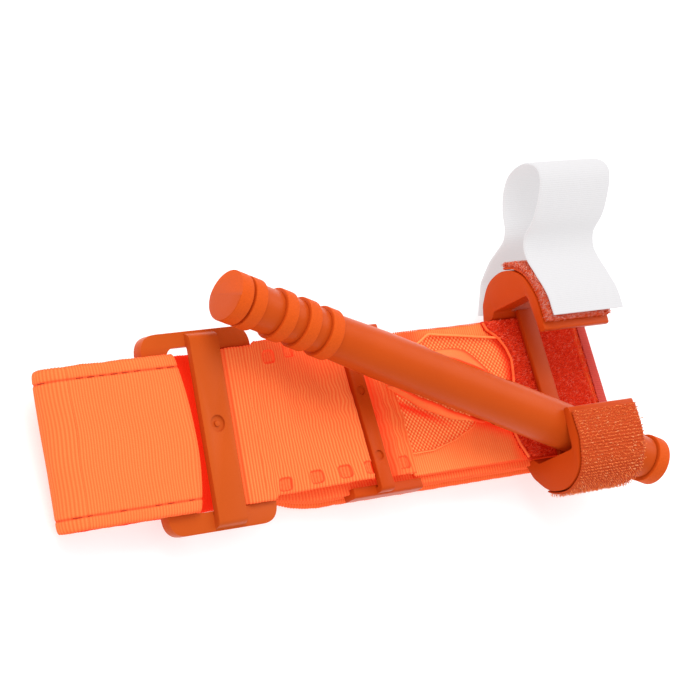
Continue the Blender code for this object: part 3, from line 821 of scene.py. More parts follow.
def rod_profile():
    """Stations (distance from the left end, radius) of the turned rod, edges rounded."""
    stations = [(0.0, 0.0), (0.0, 0.0030)]
    soft = 0.00022
    groove = 0.0006

    def edge(at, radius, direction):
        for step in range(5):
            a = math.pi / 2 * step / 4
            if direction > 0:
                stations.append((at + soft * (1 - math.cos(a)), radius - soft * (1 - math.sin(a))))
            else:
                stations.append((at - soft * (1 - math.sin(a)), radius - soft * (1 - math.cos(a))))

    def ring(start, finish):
        edge(start, RING_RADIUS, 1)
        edge(finish, RING_RADIUS, -1)

    ring(0.0, END_DISC_WIDTH)
    stations.append((END_DISC_WIDTH, GRIP_RADIUS - groove))
    for right in RING_RIGHT_EDGES:
        start = right - RING_WIDTH
        stations += [(start - 0.0004, GRIP_RADIUS), (start, GRIP_RADIUS - 0.0002)]
        ring(start, right)
        stations.append((right, GRIP_RADIUS))
    grip_end = RING_RIGHT_EDGES[-1]
    disc = ROD_LENGTH - END_DISC_WIDTH
    body_end = disc - 0.0005
    keys = np.array([(grip_end, GRIP_RADIUS), (BODY_SPAN[0], BODY_RADIUS), (BODY_SPAN[1], BODY_RADIUS),
                     (disc, GRIP_RADIUS)])
    for share in range(1, 20):
        at = grip_end + (body_end - grip_end) * share / 20
        stations.append((at, float(np.interp(at, keys[:, 0], keys[:, 1]))))
    stations += [(body_end, GRIP_RADIUS), (body_end, GRIP_RADIUS - groove), (disc, GRIP_RADIUS - groove)]
    ring(disc, ROD_LENGTH)
    stations += [(ROD_LENGTH, 0.0030), (ROD_LENGTH, 0.0)]
    return stations


def ring_tops(rod):
    """One on the flat tops of the rings and on the end discs' rims, nought elsewhere."""
    back = rod_frame().inverted()
    places = np.array([list(back @ v.co) for v in rod.data.vertices])
    distance = ROD_LENGTH / 2 - ROD_SHIFT - places[:, 2]
    raised = np.hypot(places[:, 0], places[:, 1]) > RING_RADIUS - 0.00026
    return (raised & (distance > 0.0002)).astype(float)


def make_rod(material):
    """The turned rod with its slot, and one half of its left end face cut back at the mould's parting."""
    segments = ROD_SEGMENTS
    stations = rod_profile()
    angles = np.arange(segments) * 2 * math.pi / segments
    rows = [(radius * np.cos(angles), radius * np.sin(angles), np.full(segments, ROD_LENGTH / 2 - s))
            for s, radius in stations[1:-1]]
    points = np.concatenate([np.stack(row, axis=1) for row in rows])
    count = len(rows)
    first = (np.arange(count - 1)[:, None] * segments)
    here = np.arange(segments)[None, :]
    there = (here + 1) % segments
    faces = np.stack([first + here, first + segments + here, first + segments + there, first + there], axis=2)
    faces = faces.reshape(-1, 4).tolist()
    faces.append(list(range(segments)))
    faces.append(list(range((count - 1) * segments, count * segments))[::-1])
    mesh = bpy.data.meshes.new("rod")
    mesh.from_pydata(points.tolist(), [], faces)
    place = rod_frame()
    mesh.transform(place @ Matrix.Translation((0, 0, -ROD_SHIFT)))
    outward(mesh)
    rod = link("windlass", mesh, material)
    u, v = SLOT_HEIGHT / 2, SLOT_LENGTH / 2
    corner = 0.0015
    opening = rounded([(-u, -v, corner), (u, -v, corner), (u, v, corner), (-u, v, corner)])
    through = place @ Matrix.Rotation(SLOT_TURN, 4, "Z") @ Matrix.Rotation(math.pi / 2, 4, "X")
    slot = outline_mesh([opening], 4 * RING_RADIUS, through)
    end_face = place @ Matrix.Translation((0, 0, ROD_LENGTH / 2 - ROD_SHIFT - 0.00012))
    end_face = end_face @ Matrix.Rotation(PARTING, 4, "Z") @ Matrix.Rotation(PARTING_DRAFT, 4, "Y")
    half_face = box_mesh((0.0, -0.0080, 0.0), (0.0080, 0.0080, 0.0100), end_face)
    tools = combine(rod, "DIFFERENCE", [slot, half_face])
    settle(rod)
    discard(tools)
    only_material(rod, material)
    smooth(rod, 28)
    colour_creases(rod, ring_tops(rod))
    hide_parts("windlass_rod")
    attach(rod, "windlass")


def make_clip(material):
    """Plate, crossbar, flange rails and the two hooks as one moulding, and the strip between the hooks."""
    flange = 0.0220
    body = 0.0180
    low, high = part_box("clip_bar")[0].z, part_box("clip_bar")[1].z
    plate_low, plate_high = 0.0069, 0.0086
    half = [(FLANGE_LEFT_X, flange, 0.0010), (FLANGE_RIGHT_X, flange, 0.0010),
            (FLANGE_RIGHT_X, body, 0.0010), (CLIP_RIGHT_X, body, 0.0010)]
    other = [(x, -y, radius) for x, y, radius in reversed(half)]
    base = outline_mesh([rounded(half + other)], plate_high - plate_low,
                        Matrix.Translation((0, 0, (plate_low + plate_high) / 2)))
    inside = HALF_BAND + 0.0012
    outside = inside + 0.0014
    top = high + 0.0002
    ring = [(outside, 0.0075, 0.0), (outside, top, 0.0014), (-outside, top, 0.0014), (-outside, 0.0075, 0.0)]
    hole = [(inside, 0.0080, 0.0), (inside, low, 0.0006), (-inside, low, 0.0006), (-inside, 0.0080, 0.0)]
    crossbar = outline_mesh([rounded(ring), rounded(hole)], CROSSBAR_X[1] - CROSSBAR_X[0],
                            side_plane(sum(CROSSBAR_X) / 2))
    joined = [crossbar]
    cut = []
    length = CLIP_RIGHT_X - CLIP_LEFT_X
    for side in (-1, 1):
        outline = [(side * y, z) for y, z in rounded(HOOK_OUTLINE)]
        joined.append(outline_mesh([outline], length, side_plane((CLIP_LEFT_X + CLIP_RIGHT_X) / 2)))
        pocket = [(side * y, z) for y, z in rounded(POCKET_OUTLINE)]
        cut.append(outline_mesh([pocket], length, side_plane(CLIP_LEFT_X + HOOK_RIB_LENGTH + length / 2)))
    rail_x = (FLANGE_LEFT_X, FLANGE_RIGHT_X - 0.0016)
    rail_inside = HALF_BAND + 0.0004
    for side in (-1, 1):
        outline = [(side * rail_inside, plate_low, 0.0), (side * flange, plate_low, 0.0),
                   (side * flange, RAIL_TOP_Z, 0.0008), (side * rail_inside, RAIL_TOP_Z, 0.0)]
        joined.append(outline_mesh([rounded(outline)], rail_x[1] - rail_x[0], side_plane(sum(rail_x) / 2)))
    middle = sum(CROSSBAR_X) / 2
    for y in (0.0045, -0.0125):
        mark = Matrix.Translation((middle, y, top))
        cut.append(cylinder_mesh(0.0013, -0.00050, 0.0010, mark, 32))
    clip = moulding("windlass_clip", base, joined, cut, 0.0005, material)
    half_bar = 0.0208
    strip = box_mesh((CLIP_BAR_X[0], -half_bar, low), (CLIP_BAR_X[1], half_bar, high))
    bar = moulding("clip_cross_strip", strip, [], [], 0.0003, material)
    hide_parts("stabilization_plate", "near_clip_hook", "far_clip_hook")
    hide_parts("clip_bar")
    for piece in (clip, bar):
        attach(piece, "plate_body")


def make_buckle(material):
    """The slider frame with its two slots under one raised bar, and the moulding pip in the bar's dimple."""
    half_width = BUCKLE_WIDTH / 2
    outer = [(0, -half_width, 0.0050), (BUCKLE_LENGTH, -half_width, 0.0050),
             (BUCKLE_LENGTH, half_width, 0.0050), (0, half_width, 0.0050)]
    near, far = -0.0193, SLOT_HALF_LENGTH
    bar_x = (LEFT_SLOT_X[1] + RIGHT_SLOT_X[0]) / 2
    opening = rounded([(LEFT_SLOT_X[0], near, 0.0022), (RIGHT_SLOT_X[1], near, 0.0022),
                       (RIGHT_SLOT_X[1], -near, 0.0010), (bar_x, -near, 0.0), (bar_x, far, 0.0),
                       (LEFT_SLOT_X[0], far, 0.0030)], 6)
    base = outline_mesh([rounded(outer, 10), opening], FRAME_THICKNESS, BUCKLE_PLACE)
    foot = half_width - 0.0004
    edge_z = FRAME_THICKNESS / 2 - 0.0003
    under = CENTRE_BAR_FACE_Z - 0.0017
    ridge = [(-foot, -edge_z, 0.0), (0.0022 - foot, -edge_z, 0.0), (0.0034 - foot, under, 0.0010),
             (foot - 0.0034, under, 0.0010), (foot - 0.0022, -edge_z, 0.0), (foot, -edge_z, 0.0),
             (foot, edge_z, 0.0), (CENTRE_BAR_HALF_FACE, CENTRE_BAR_FACE_Z, 0.0015),
             (-CENTRE_BAR_HALF_FACE, CENTRE_BAR_FACE_Z, 0.0015), (-foot, edge_z, 0.0)]
    low, high = LEFT_SLOT_X[1] - 0.0001, RIGHT_SLOT_X[0] + 0.0001
    bar = outline_mesh([rounded(ridge)], high - low, BUCKLE_PLACE @ side_plane((low + high) / 2))
    gate_at = BUCKLE_PLACE @ Matrix.Translation(((low + high) / 2, 0.0012, CENTRE_BAR_FACE_Z))
    cut = [cylinder_mesh(0.0021, -0.0006, 0.0010, gate_at, 48)]
    buckle = moulding("slider_frame", base, [bar], cut, 0.0006, material)
    pip = moulding("slider_gate_pip", cylinder_mesh(0.0007, -0.0007, -0.00015, gate_at, 24), [], [],
                   0.0001, material)
    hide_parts("slider_buckle")
    for piece in (buckle, pip):
        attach(piece, "buckle_body")


def loop_relief(start, finish):
    """The band over the loop: stitch grooves near both edges, soft swelling, and a bulge and painted red
    shade where it turns down at the loop's end; painted red shade also lies along the stitch lines and edges."""
    def on(distance):
        return ((distance > start) & (distance < finish)).astype(float)

    def line(across):
        return np.exp(-((np.abs(across) - (HALF_BAND - STITCH_INSET)) / 0.00020) ** 2)

    def relief(distance, across):
        tuck = 1 + 0.5 * np.cos(2 * math.pi * distance / STITCH_PITCH)
        swell = 0.00010 * np.sin(distance * 700 + np.sin(across * 170) * 1.5)
        puffed = np.cos(math.pi * np.clip((across + 0.0020) / 0.0420, -0.5, 0.5))
        bend = np.exp(-((distance - finish) / 0.0060) ** 2)
        return on(distance) * (-0.00020 * line(across) * tuck + swell) + bend * (0.0022 * puffed - 0.0011)

    # Painted red shade along the stitch lines and edges, and deep where the band turns down into the slot.
    def crease(distance, across):
        edges = np.clip((np.abs(across) - HALF_BAND + 0.0006) / 0.0006, 0, 1) * 0.3
        turned = np.clip((distance - finish) / 0.0012, 0, 1)
        turned = turned * np.clip((finish + 0.0950 - distance) / 0.004, 0, 1)
        return on(distance) * line(across) * 0.75 + edges * (1 - turned) + 0.95 * turned

    return relief, crease


def make_band(material, thread):
    centres, sides = band_route()
    places = np.array(centres)
    start = distances(places)[int(np.argmin(places[:, 0]))] - 0.004
    finish = start + 0.0452
    relief, crease = loop_relief(start, finish)
    band = ribbon("main_band", centres, sides, material, BAND_THICKNESS, columns=64,
                  relief=relief, crease=crease, sway=band_sway, ragged=0.00014)
    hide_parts("band_back_left", "band_back_run", "band_inner_fold", "band_outer_fold",
                "band_over_buckle", "band_under_buckle", "tail_left_run", "tail_outer_run",
                "tail_right_fold", "tail_end_run", "band_right_fold")
    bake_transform(band)
    make_loop_stitches(centres, sides, (start, finish), thread)


def band_sway(distance, across):
    """The slight bow and wander of the ribs of worn tape."""
    return 0.00025 * np.sin(across * 150 + distance * 25) + 0.00012 * np.sin(across * 420 + distance * 90)


def make_loop_stitches(centres, sides, stretch, thread):
    """Lock stitches along both edges of the loop, each a short sunk strand, with some worn away."""
    start, finish = stretch
    centre, side, distance = along_path(centres, sides, 0.0002)
    tangent = np.gradient(centre, axis=0)
    normal = np.cross(tangent, side)
    normal /= np.linalg.norm(normal, axis=1, keepdims=True)
    gap = 0.0010
    worn_share = 0.4
    surface = BAND_THICKNESS / 2 - 0.00020
    pieces = []
    for row in (-1, 1):
        reach = row * (HALF_BAND - STITCH_INSET)
        for index in range(int((finish - start - 0.006) / STITCH_PITCH)):
            first = start + 0.004 + index * STITCH_PITCH
            picked = (distance >= first) & (distance <= first + STITCH_PITCH - gap)
            if picked.sum() < 3 or CHANCE.random() < worn_share:
                continue
            bow = np.sin(np.linspace(0, math.pi, picked.sum()))
            place = centre[picked] + side[picked] * reach
            place = place + normal[picked] * (surface + 0.00012 * bow)[:, None]
            pieces.append(tube("stitch", place.tolist(), 0.00012, thread))
    stitches = join("loop_stitching", pieces)
    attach(stitches, "buckle_body")


def sleeve_relief(distance, across):
    """Weld dimples, and the soft waves of cloth held down by the crossbar and its weld."""
    x = FLAP_END_X - distance
    lift = np.zeros(np.broadcast_shapes(distance.shape, across.shape))
    for place_x, place_y in WELDS:
        _, well, rim = weld_shape(x, across, place_x, place_y)
        spots = np.cos((x - place_x) * 5200) * np.cos((across - place_y) * 5200)
        lift = lift - 0.00030 * well + 0.00014 * rim - 0.00006 * well * spots
    right = np.clip((x - CROSSBAR_X[1]) / 0.0030, 0, 1)
    waves = np.sin((x - CROSSBAR_X[1]) * 2200 + 1.6 * np.sin(across * 190))
    lift = lift + 0.00022 * right * waves
    puckers = np.sin(x * 620 + 2.2 * np.sin(across * 120 + 0.7)) * np.exp(-((across - 0.006) / 0.012) ** 2)
    lift = lift + 0.00022 * puckers * (x < CROSSBAR_X[0] - 0.002) * (x > -0.054)
    return -lift * (distance < SLEEVE_TOP_LENGTH)


def weld_shape(x, across, place_x, place_y):
    """A weld's squareness, sunken face and raised rim at each point."""
    half_x, half_y = WELD_HALF
    corner = ((np.abs(x - place_x) / half_x) ** 4 + (np.abs(across - place_y) / half_y) ** 4) ** 0.25
    well = 1 / (1 + np.exp(np.clip((corner - 0.92) / 0.05, -40, 40)))
    return corner, well, np.exp(-((corner - 1.12) / 0.16) ** 2)


def sleeve_painted_shade(distance, across):
    """Painted red shade in the weld rims and wells, beside the crossbar, by the buckle, at the edges, in the
    puckers, and faintly on the plies beneath.
    """
    x = FLAP_END_X - distance
    depth = np.zeros(np.broadcast_shapes(distance.shape, across.shape))
    for place_x, place_y in WELDS:
        square, well, _ = weld_shape(x, across, place_x, place_y)
        depth = np.maximum(depth, 0.8 * np.exp(-((square - 0.98) / 0.10) ** 2) + 0.30 * well)
    top = distance < SLEEVE_TOP_LENGTH
    flap = np.clip(1 - np.abs(x - CROSSBAR_X[1] - 0.0006) / 0.0060, 0, 1) * (x > CROSSBAR_X[1] - 0.001)
    gap = np.exp(-((x - CROSSBAR_X[0]) / 0.0007) ** 2)
    shaded = np.clip((across - 0.0060) / 0.0130, 0, 1) * np.clip((x + 0.0560) / 0.0200, 0, 1) * 0.55
    start = np.clip(1 - (x - BUCKLE_X - RIGHT_SLOT_X[0]) / 0.0040, 0, 1) * 0.45
    depth = np.maximum(depth, top * np.maximum(np.maximum(0.75 * flap, gap), np.maximum(shaded, start)))
    edges = np.clip((np.abs(across) - HALF_BAND + 0.0005) / 0.0005, 0, 1) * 0.4
    return np.maximum(depth, np.maximum(edges, 0.20 * (distance > 0.055)))


def sleeve_sway(distance, across):
    """The wander of the ribs where the cloth is puckered."""
    x = FLAP_END_X - distance
    middle = np.exp(-((across - 0.003 + 0.3 * (x + 0.040)) / 0.0075) ** 2)
    middle = middle * np.clip((x + 0.0530) / 0.006, 0, 1)
    kink = np.sin(across * 900 + x * 310) + np.sin(across * 1570 - x * 480) + np.sin(across * 570 + x * 900)
    broad = np.sin(across * 210 + x * 90) * 0.00022
    fine = 0.00008 * np.sin(across * 1100 + x * 1500)
    return (0.00045 * (kink / 3) * middle + fine + broad) * (distance < SLEEVE_TOP_LENGTH)


def make_sleeve(material):
    centres, sides = sleeve_route()
    sleeve = ribbon("outer_sleeve", centres, sides, material, PLY_THICKNESS, rib=SLEEVE_RIB,
                    rib_height=0.00006, columns=150, relief=sleeve_relief, sway=sleeve_sway,
                    crease=sleeve_painted_shade)
    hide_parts("sleeve_upper_panel", "sleeve_end_loop", "sleeve_lower_panel")
    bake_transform(sleeve)


def inside_outline(x, y, outline):
    """Which points of two arrays lie inside a closed outline."""
    found = np.zeros(x.shape, bool)
    previous = outline[-1]
    for point in outline:
        (x1, y1), (x2, y2) = previous, point
        crosses = (y1 > y) != (y2 > y)
        with np.errstate(divide="ignore", invalid="ignore"):
            at = (x2 - x1) * (y - y1) / (y2 - y1) + x1
        found ^= crosses & (x < at)
        previous = point
    return found


def cloth_grid(name, x_range, half_width, step, height, keep, material, thickness):
    """A level sheet on a fine grid; height(x, y) gives its surface and keep(x, y) its shape."""
    xs = np.arange(x_range[0], x_range[1] + step[0] / 2, step[0])
    ys = np.linspace(-half_width, half_width, int(2 * half_width / step[1]) + 1)
    x, y = np.meshgrid(xs, ys, indexing="ij")
    z = height(x, y)
    points = np.stack([x, y, z], axis=2).reshape(-1, 3)
    faces = grid_faces(len(xs), len(ys))
    middle = points[faces].mean(axis=1)
    faces = faces[keep(middle[:, 0], middle[:, 1])]
    used = np.unique(faces)
    renumber = np.zeros(len(points), int)
    renumber[used] = np.arange(len(used))
    points, faces = points[used], renumber[faces]
    weave = points[:, :2] * 1000
    obj = link(name, mesh_from_arrays(name, points, faces, weave), material)
    thicken(obj, thickness, 1, material)
    return obj


def make_window(material):
    """The sleeve's ply round the window, with a rolled far edge and a thin near hem."""
    left, right = FLAP_END_X + 0.0002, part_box("sleeve_window_panel")[1].x
    outline = divided([tuple(p) for p in rounded(WINDOW, 8)], 0.0004)
    ply_low = UPPER_PLY_Z - 0.0006

    def height(x, y):
        waves = 0.00010 * np.sin(x * 900 + 2 * np.sin(y * 200))
        edge = 0.00020 * np.sin(x * 260 + 1.0) * (np.abs(y) / HALF_BAND) ** 4
        return ply_low + 0.00004 * np.cos(2 * math.pi * x / WINDOW_RIB) + waves + edge

    def keep(x, y):
        ragged = HALF_BAND - 0.00012 + 0.00008 * np.cos(2 * math.pi * x / WINDOW_RIB)
        return ~inside_outline(x, y, outline) & (np.abs(y) < ragged)

    panel = cloth_grid("window_border", (left, right), HALF_BAND, (WINDOW_RIB / 5, 0.00035), height, keep,
                       material, 0.0004)
    colour_points(panel, border_crease)
    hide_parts("sleeve_window_panel")
    edge_z = UPPER_PLY_Z + 0.0001
    first = outline.index(min(outline, key=lambda q: math.hypot(q[0] - 0.0300, q[1] - 0.0140)))
    far_rim = [point for point in outline[first:] if point[0] > left]
    edge = [(x, y, edge_z + 0.00010 * math.sin(x * 500)) for x, y in far_rim]
    piping = tube("window_rolled_edge", edge, 0.00032, material, (edge_z, 0.6))
    near_rim = [point for point in outline[:first] if left < point[0] < 0.0230 and point[1] < 0.0]
    hem = tube("window_near_hem", [(x, y, edge_z) for x, y in near_rim], 0.00016, material)
    for piece in (panel, piping, hem):
        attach(piece, "plate_body")


def divided(outline, step):
    """A closed outline with extra points, so that no side is much longer than the step."""
    result = []
    for (x1, y1), (x2, y2) in zip(outline, outline[1:] + outline[:1]):
        parts = max(1, int(math.hypot(x2 - x1, y2 - y1) / step))
        result += [(x1 + (x2 - x1) * i / parts, y1 + (y2 - y1) * i / parts) for i in range(parts)]
    return result


def rod_distances(x, y):
    """How far points lie along the rod and to its far side, seen from above."""
    return (x * math.cos(ROD_HEADING) + y * math.sin(ROD_HEADING),
            y * math.cos(ROD_HEADING) - x * math.sin(ROD_HEADING))


def border_crease(x, y):
    """The redder shade beside the rod, right of the window, and at the panel's near edge."""
    along, aside = rod_distances(x, y)
    shaded = np.exp(-((aside + 0.0004) / 0.0022) ** 2) * np.clip((along - 0.0120) / 0.0030, 0, 1)
    edges = np.clip((np.abs(y) - HALF_BAND + 0.0007) / 0.0005, 0, 1) * 0.6
    corner = np.clip((x - 0.0230) / 0.0040, 0, 1) * (y < 0) * 0.6
    far_corner = np.exp(-((x + 0.0010) / 0.0050) ** 2) * (y > 0) * 0.6
    return np.maximum(np.maximum(0.9 * shaded, edges), np.maximum(corner, far_corner))


def mesh_crease(x, y):
    """The red shade on the mesh along the gathered climb, and beside the loop patch."""
    along, aside = rod_distances(x, y)
    below = np.exp(-((aside + 0.0030 + 0.06 * (along + 0.010)) / 0.0011) ** 2)
    below = below * np.clip((along + 0.0140) / 0.0030, 0, 1) * np.clip((0.0100 - along) / 0.0100, 0, 1)
    beside = np.clip(1 - (patch_left_edge(y) - x) / 0.0022, 0, 1) * (y > 0)
    return np.maximum(0.9 * below, 0.85 * beside)


def colour_points(obj, shade):
    places = np.array([list(v.co) for v in obj.data.vertices])
    colour_creases(obj, shade(places[:, 0], places[:, 1]))


def make_window_mesh(material):
    """The inner band seen through the window: a basket weave with painted red shade beside the rod and the
    loop patch.
    """
    left, right = FLAP_END_X - 0.0010, 0.0335

    def height(x, y):
        weave = 0.00012 * np.cos(math.pi * x / MESH_PITCH) * np.cos(math.pi * y / MESH_PITCH)
        return INNER_BAND_Z + weave - 0.0003 + 0.00015 * np.sin(x * 240 + y * 150)

    def keep(x, y):
        return np.abs(y) < MESH_HALF_WIDTH

    mesh = cloth_grid("window_mesh", (left, right), MESH_HALF_WIDTH, (MESH_PITCH / 4, MESH_PITCH / 4),
                      height, keep, material, 0.0005)
    colour_points(mesh, mesh_crease)
    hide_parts("inner_band_left", "inner_band_right")
    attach(mesh, "plate_body")


def climb_path(side, a):
    """The climb from the mesh to the slot at one place along the rod: three control points (y, z)."""
    reach = max(math.sin(math.pi * min(max((a + 1) / 2, 0), 1) ** CLIMB_SKEW[side]), 0) ** CLIMB_SPREAD[side]
    drop = a * CLIMB_HALF * math.tan(ROD_DIP)
    if side < 0:
        low = (0.0002 + 0.0027 * reach, 0.0116)
        bend = (0.0002 + 0.0048 * reach, 0.0146 + 0.0010 * reach)
        top = (0.0034 + 0.0018 * reach, 0.0172 + 0.0022 * reach - drop)
    else:
        low = (0.0002 + 0.0164 * reach, 0.0116)
        bend = (0.0002 + 0.0128 * reach, 0.0140)
        top = (0.0040 + 0.0016 * reach, 0.0180 + 0.0080 * reach - drop)
    return low, bend, top


def make_climb(name, side, node, material):
    """The inner band's gathered climb beside the rod, with ribs that run along the rod."""
    rows, columns = 90, 90
    heading = Matrix.Rotation(ROD_HEADING, 3, "Z")
    points, weave = [], []
    for i in range(rows + 1):
        t = i / rows
        for j in range(columns + 1):
            a = 2 * j / columns - 1
            low, bend, top = climb_path(side, a)
            y = (1 - t) ** 2 * low[0] + 2 * t * (1 - t) * bend[0] + t * t * top[0]
            z = (1 - t) ** 2 * low[1] + 2 * t * (1 - t) * bend[1] + t * t * top[1]
            y += 0.00016 * math.cos(2 * math.pi * t * CLIMB_LENGTH / CLIMB_RIB) * (1 - t)
            z += 0.00020 * math.sin(a * 9 + t * 4)
            points.append(heading @ Vector((a * CLIMB_HALF + CLIMB_SLIDE[side] * (1 - t), side * y, z)))
            weave.append((t * CLIMB_LENGTH * 1000, a * CLIMB_HALF * 1000))
    faces = grid_faces(rows + 1, columns + 1)
    mesh = mesh_from_arrays(name, np.array([list(p) for p in points]), faces, np.array(weave))
    climb = link(name, mesh, material)
    # Painted red shade at the climb's foot by the mesh and, fainter, near the slot.
    depth = [0.85 * max(0.0, 1 - i / rows / 0.22) + 0.5 * max(0.0, (i / rows - 0.75) / 0.25)
             for i in range(rows + 1) for _ in range(columns + 1)]
    colour_creases(climb, np.array(depth))
    thicken(climb, 0.0006, 0, material)
    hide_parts(node)
    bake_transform(climb)


def make_slot_bands(material):
    """The inner band through the rod's slot, and its climb to the slot on each side."""
    make_climb("inner_band_near_climb", -1, "inner_band_near_fold", material)
    make_climb("inner_band_far_climb", 1, "inner_band_far_fold", material)
    place = rod_frame() @ Matrix.Rotation(SLOT_TURN, 4, "Z")
    depths = np.linspace(-SLOT_BAND_LENGTH / 2, SLOT_BAND_LENGTH / 2, 20)
    centres = [place @ Vector((0, y, 0)) for y in depths]
    sides = [place.to_3x3() @ Vector((0, 0, 1))] * len(centres)
    through = ribbon("inner_band_in_slot", centres, sides, material, 0.0026, half_width=SLOT_BAND_WIDTH / 2,
                     rib=CLIMB_RIB, columns=40, ragged=0.0)
    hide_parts("inner_band_slot")
    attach(through, "windlass")


# ---------------------------------------------------------------- pile and hooks

def fibres(name, bases, normals, length, radius, material, curl=0.9, segments=5):
    """Many small curled strands, each a thin three-sided tube that rises and bends over."""
    count = len(bases)
    helper = np.where(np.abs(normals[:, :1]) < 0.8, np.array([[1.0, 0, 0]]), np.array([[0, 1.0, 0]]))
    one = np.cross(normals, helper)
    one /= np.linalg.norm(one, axis=1, keepdims=True)
    two = np.cross(normals, one)
    heading = CHANCE.uniform(0, 2 * math.pi, count)
    lean = one * np.cos(heading)[:, None] + two * np.sin(heading)[:, None]
    sizes = length * CHANCE.uniform(0.6, 1.3, count)
    bend = CHANCE.uniform(0.5, 1.0, count) * curl
    t = np.linspace(0, 1, segments)
    rise = np.sin(t * math.pi * 0.92)
    run = (1 - np.cos(t * math.pi)) / 2
    wiggle = CHANCE.uniform(-0.3, 0.3, (count, 3))
    spine = (bases[:, None, :] + normals[:, None, :] * (sizes[:, None] * rise[None, :])[:, :, None]
             + lean[:, None, :] * (sizes[:, None] * bend[:, None] * run[None, :])[:, :, None]
             + wiggle[:, None, :] * (sizes[:, None] * (t * (1 - t))[None, :])[:, :, None])
    cross = np.cross(normals, lean)
    corners = []
    for k in range(3):
        a = 2 * math.pi * k / 3
        offset = cross * math.cos(a) + (normals * 0.6 - lean * 0.4) * math.sin(a)
        taper = radius * (1 - 0.4 * t)
        corners.append(spine + offset[:, None, :] * taper[None, :, None])
    ring = np.stack(corners, axis=2)
    points = ring.reshape(-1, 3)
    base = (np.arange(count) * segments * 3)[:, None, None]
    row = (np.arange(segments - 1) * 3)[None, :, None]
    here = np.arange(3)[None, None, :]
    there = (here + 1) % 3
    quads = np.stack([base + row + here, base + row + there, base + row + 3 + there, base + row + 3 + here],
                     axis=3).reshape(-1, 4)
    mesh = bpy.data.meshes.new(name)
    caps = np.arange(count) * segments * 3
    first = np.stack([caps + 2, caps + 1, caps], axis=1)
    last = np.stack([caps, caps + 1, caps + 2], axis=1) + (segments - 1) * 3
    mesh.from_pydata(points.tolist(), [], quads.tolist() + first.tolist() + last.tolist())
    obj = link(name, mesh, material)
    obj.data.shade_smooth()
    return obj


def patch_left_edge(y):
    """The loop patch's curved left edge: x for an array of y."""
    keys_y = [-0.0190, -0.0150, -0.0110, -0.0040, 0.0033, 0.0078, 0.0114, 0.0146, 0.0167, 0.0190]
    keys_x = [0.0276, 0.0258, 0.0248, 0.0275, 0.0303, 0.0313, 0.0304, 0.0284, 0.0256, 0.0248]
    return np.interp(y, keys_y, keys_x)


def make_patch(base_material, pile_material, selvage_material, edge_material):
    """The loop patch between the hooks: a backing with a curved, turned left edge and a napped pile."""
    left, right = PATCH_LEFT_X, PATCH_RIGHT_X
    top = UPPER_PLY_Z + 0.0002

    def height(x, y):
        edge = x - patch_left_edge(y)
        lip = 0.0007 * np.exp(-((edge - 0.0008) / 0.0009) ** 2)
        drop = -0.0006 / (1 + np.exp((edge + 0.0001) / 0.0002))
        groove = -0.00025 * np.exp(-((x - (right - 0.0035)) / 0.0007) ** 2)
        down = -0.9 * np.clip(x - (right - 0.0012), 0, 1)
        return top - 0.0006 + lip + drop + groove + down + 0.00012 * np.sin(y * 520 + x * 300)

    def keep(x, y):
        return (x > patch_left_edge(y)) & (np.abs(y) < HALF_BAND)

    patch = cloth_grid("loop_patch_backing", (left, right), HALF_BAND, (0.00025, 0.0003), height, keep,
                       base_material, 0.0007)
    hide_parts("loop_patch")
    edge_y = np.linspace(-HALF_BAND, HALF_BAND, 60)
    xs = CHANCE.uniform(left, right - 0.0022, PILE_COUNT)
    ys = CHANCE.uniform(-HALF_BAND + 0.0003, HALF_BAND - 0.0003, PILE_COUNT)
    under_bar = (xs > CLIP_BAR_X[0] - 0.0002) & (xs < CLIP_BAR_X[1] + 0.0002)
    inside = (xs > patch_left_edge(ys) + 0.0002) & ~under_bar
    xs, ys = xs[inside], ys[inside]
    bases = np.stack([xs, ys, height(xs, ys) + 0.0006], axis=1)
    normals = np.tile([0.0, 0.0, 1.0], (len(xs), 1))
    pile = fibres("loop_patch_pile", bases, normals, 0.00070, 0.00006, pile_material)
    edge_y = np.linspace(-HALF_BAND + 0.0004, HALF_BAND - 0.0004, 40)
    lip = [(float(x) + 0.0002, float(y), top + 0.00020) for x, y in zip(patch_left_edge(edge_y), edge_y)]
    turned = tube("loop_patch_turned_edge", lip, 0.00036, edge_material)
    strip = make_selvage(right, selvage_material)
    for piece in (patch, pile, turned, strip):
        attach(piece, "plate_body")


def make_selvage(right, material):
    """The finely ribbed selvage that curls down over the stack's right end."""
    path = smooth_path([(right - 0.0022, UPPER_PLY_Z + 0.00045), (right - 0.0004, UPPER_PLY_Z + 0.00040),
                        (right + 0.0012, UPPER_PLY_Z - 0.0002), (right + 0.0021, UPPER_PLY_Z - 0.0014),
                        (right + 0.0024, UPPER_PLY_Z - 0.0030)])
    keys = np.array([list(p) for p in path])
    distance = distances(keys)
    rows = np.linspace(0, distance[-1], 26)
    x = np.interp(rows, distance, keys[:, 0])
    z = np.interp(rows, distance, keys[:, 1])
    ys = np.arange(-HALF_BAND + 0.0001, HALF_BAND - 0.0001, 0.00010)
    ribs = 0.00007 * np.cos(2 * math.pi * ys / SELVAGE_RIB)
    tangent = np.stack([np.gradient(x), np.gradient(z)], axis=1)
    tangent /= np.linalg.norm(tangent, axis=1, keepdims=True)
    px = x[:, None] - tangent[:, 1][:, None] * ribs[None, :]
    pz = z[:, None] + tangent[:, 0][:, None] * ribs[None, :]
    points = np.stack([px, np.broadcast_to(ys, px.shape), pz], axis=2).reshape(-1, 3)
    faces = grid_faces(len(rows), len(ys))
    weave = np.stack([np.tile(ys * 1000, len(rows)), np.repeat(rows * 1000, len(ys))], axis=1)
    obj = link("loop_patch_selvage", mesh_from_arrays("selvage", points, faces, weave), material)
    thicken(obj, 0.0004, -1, material)
    return obj


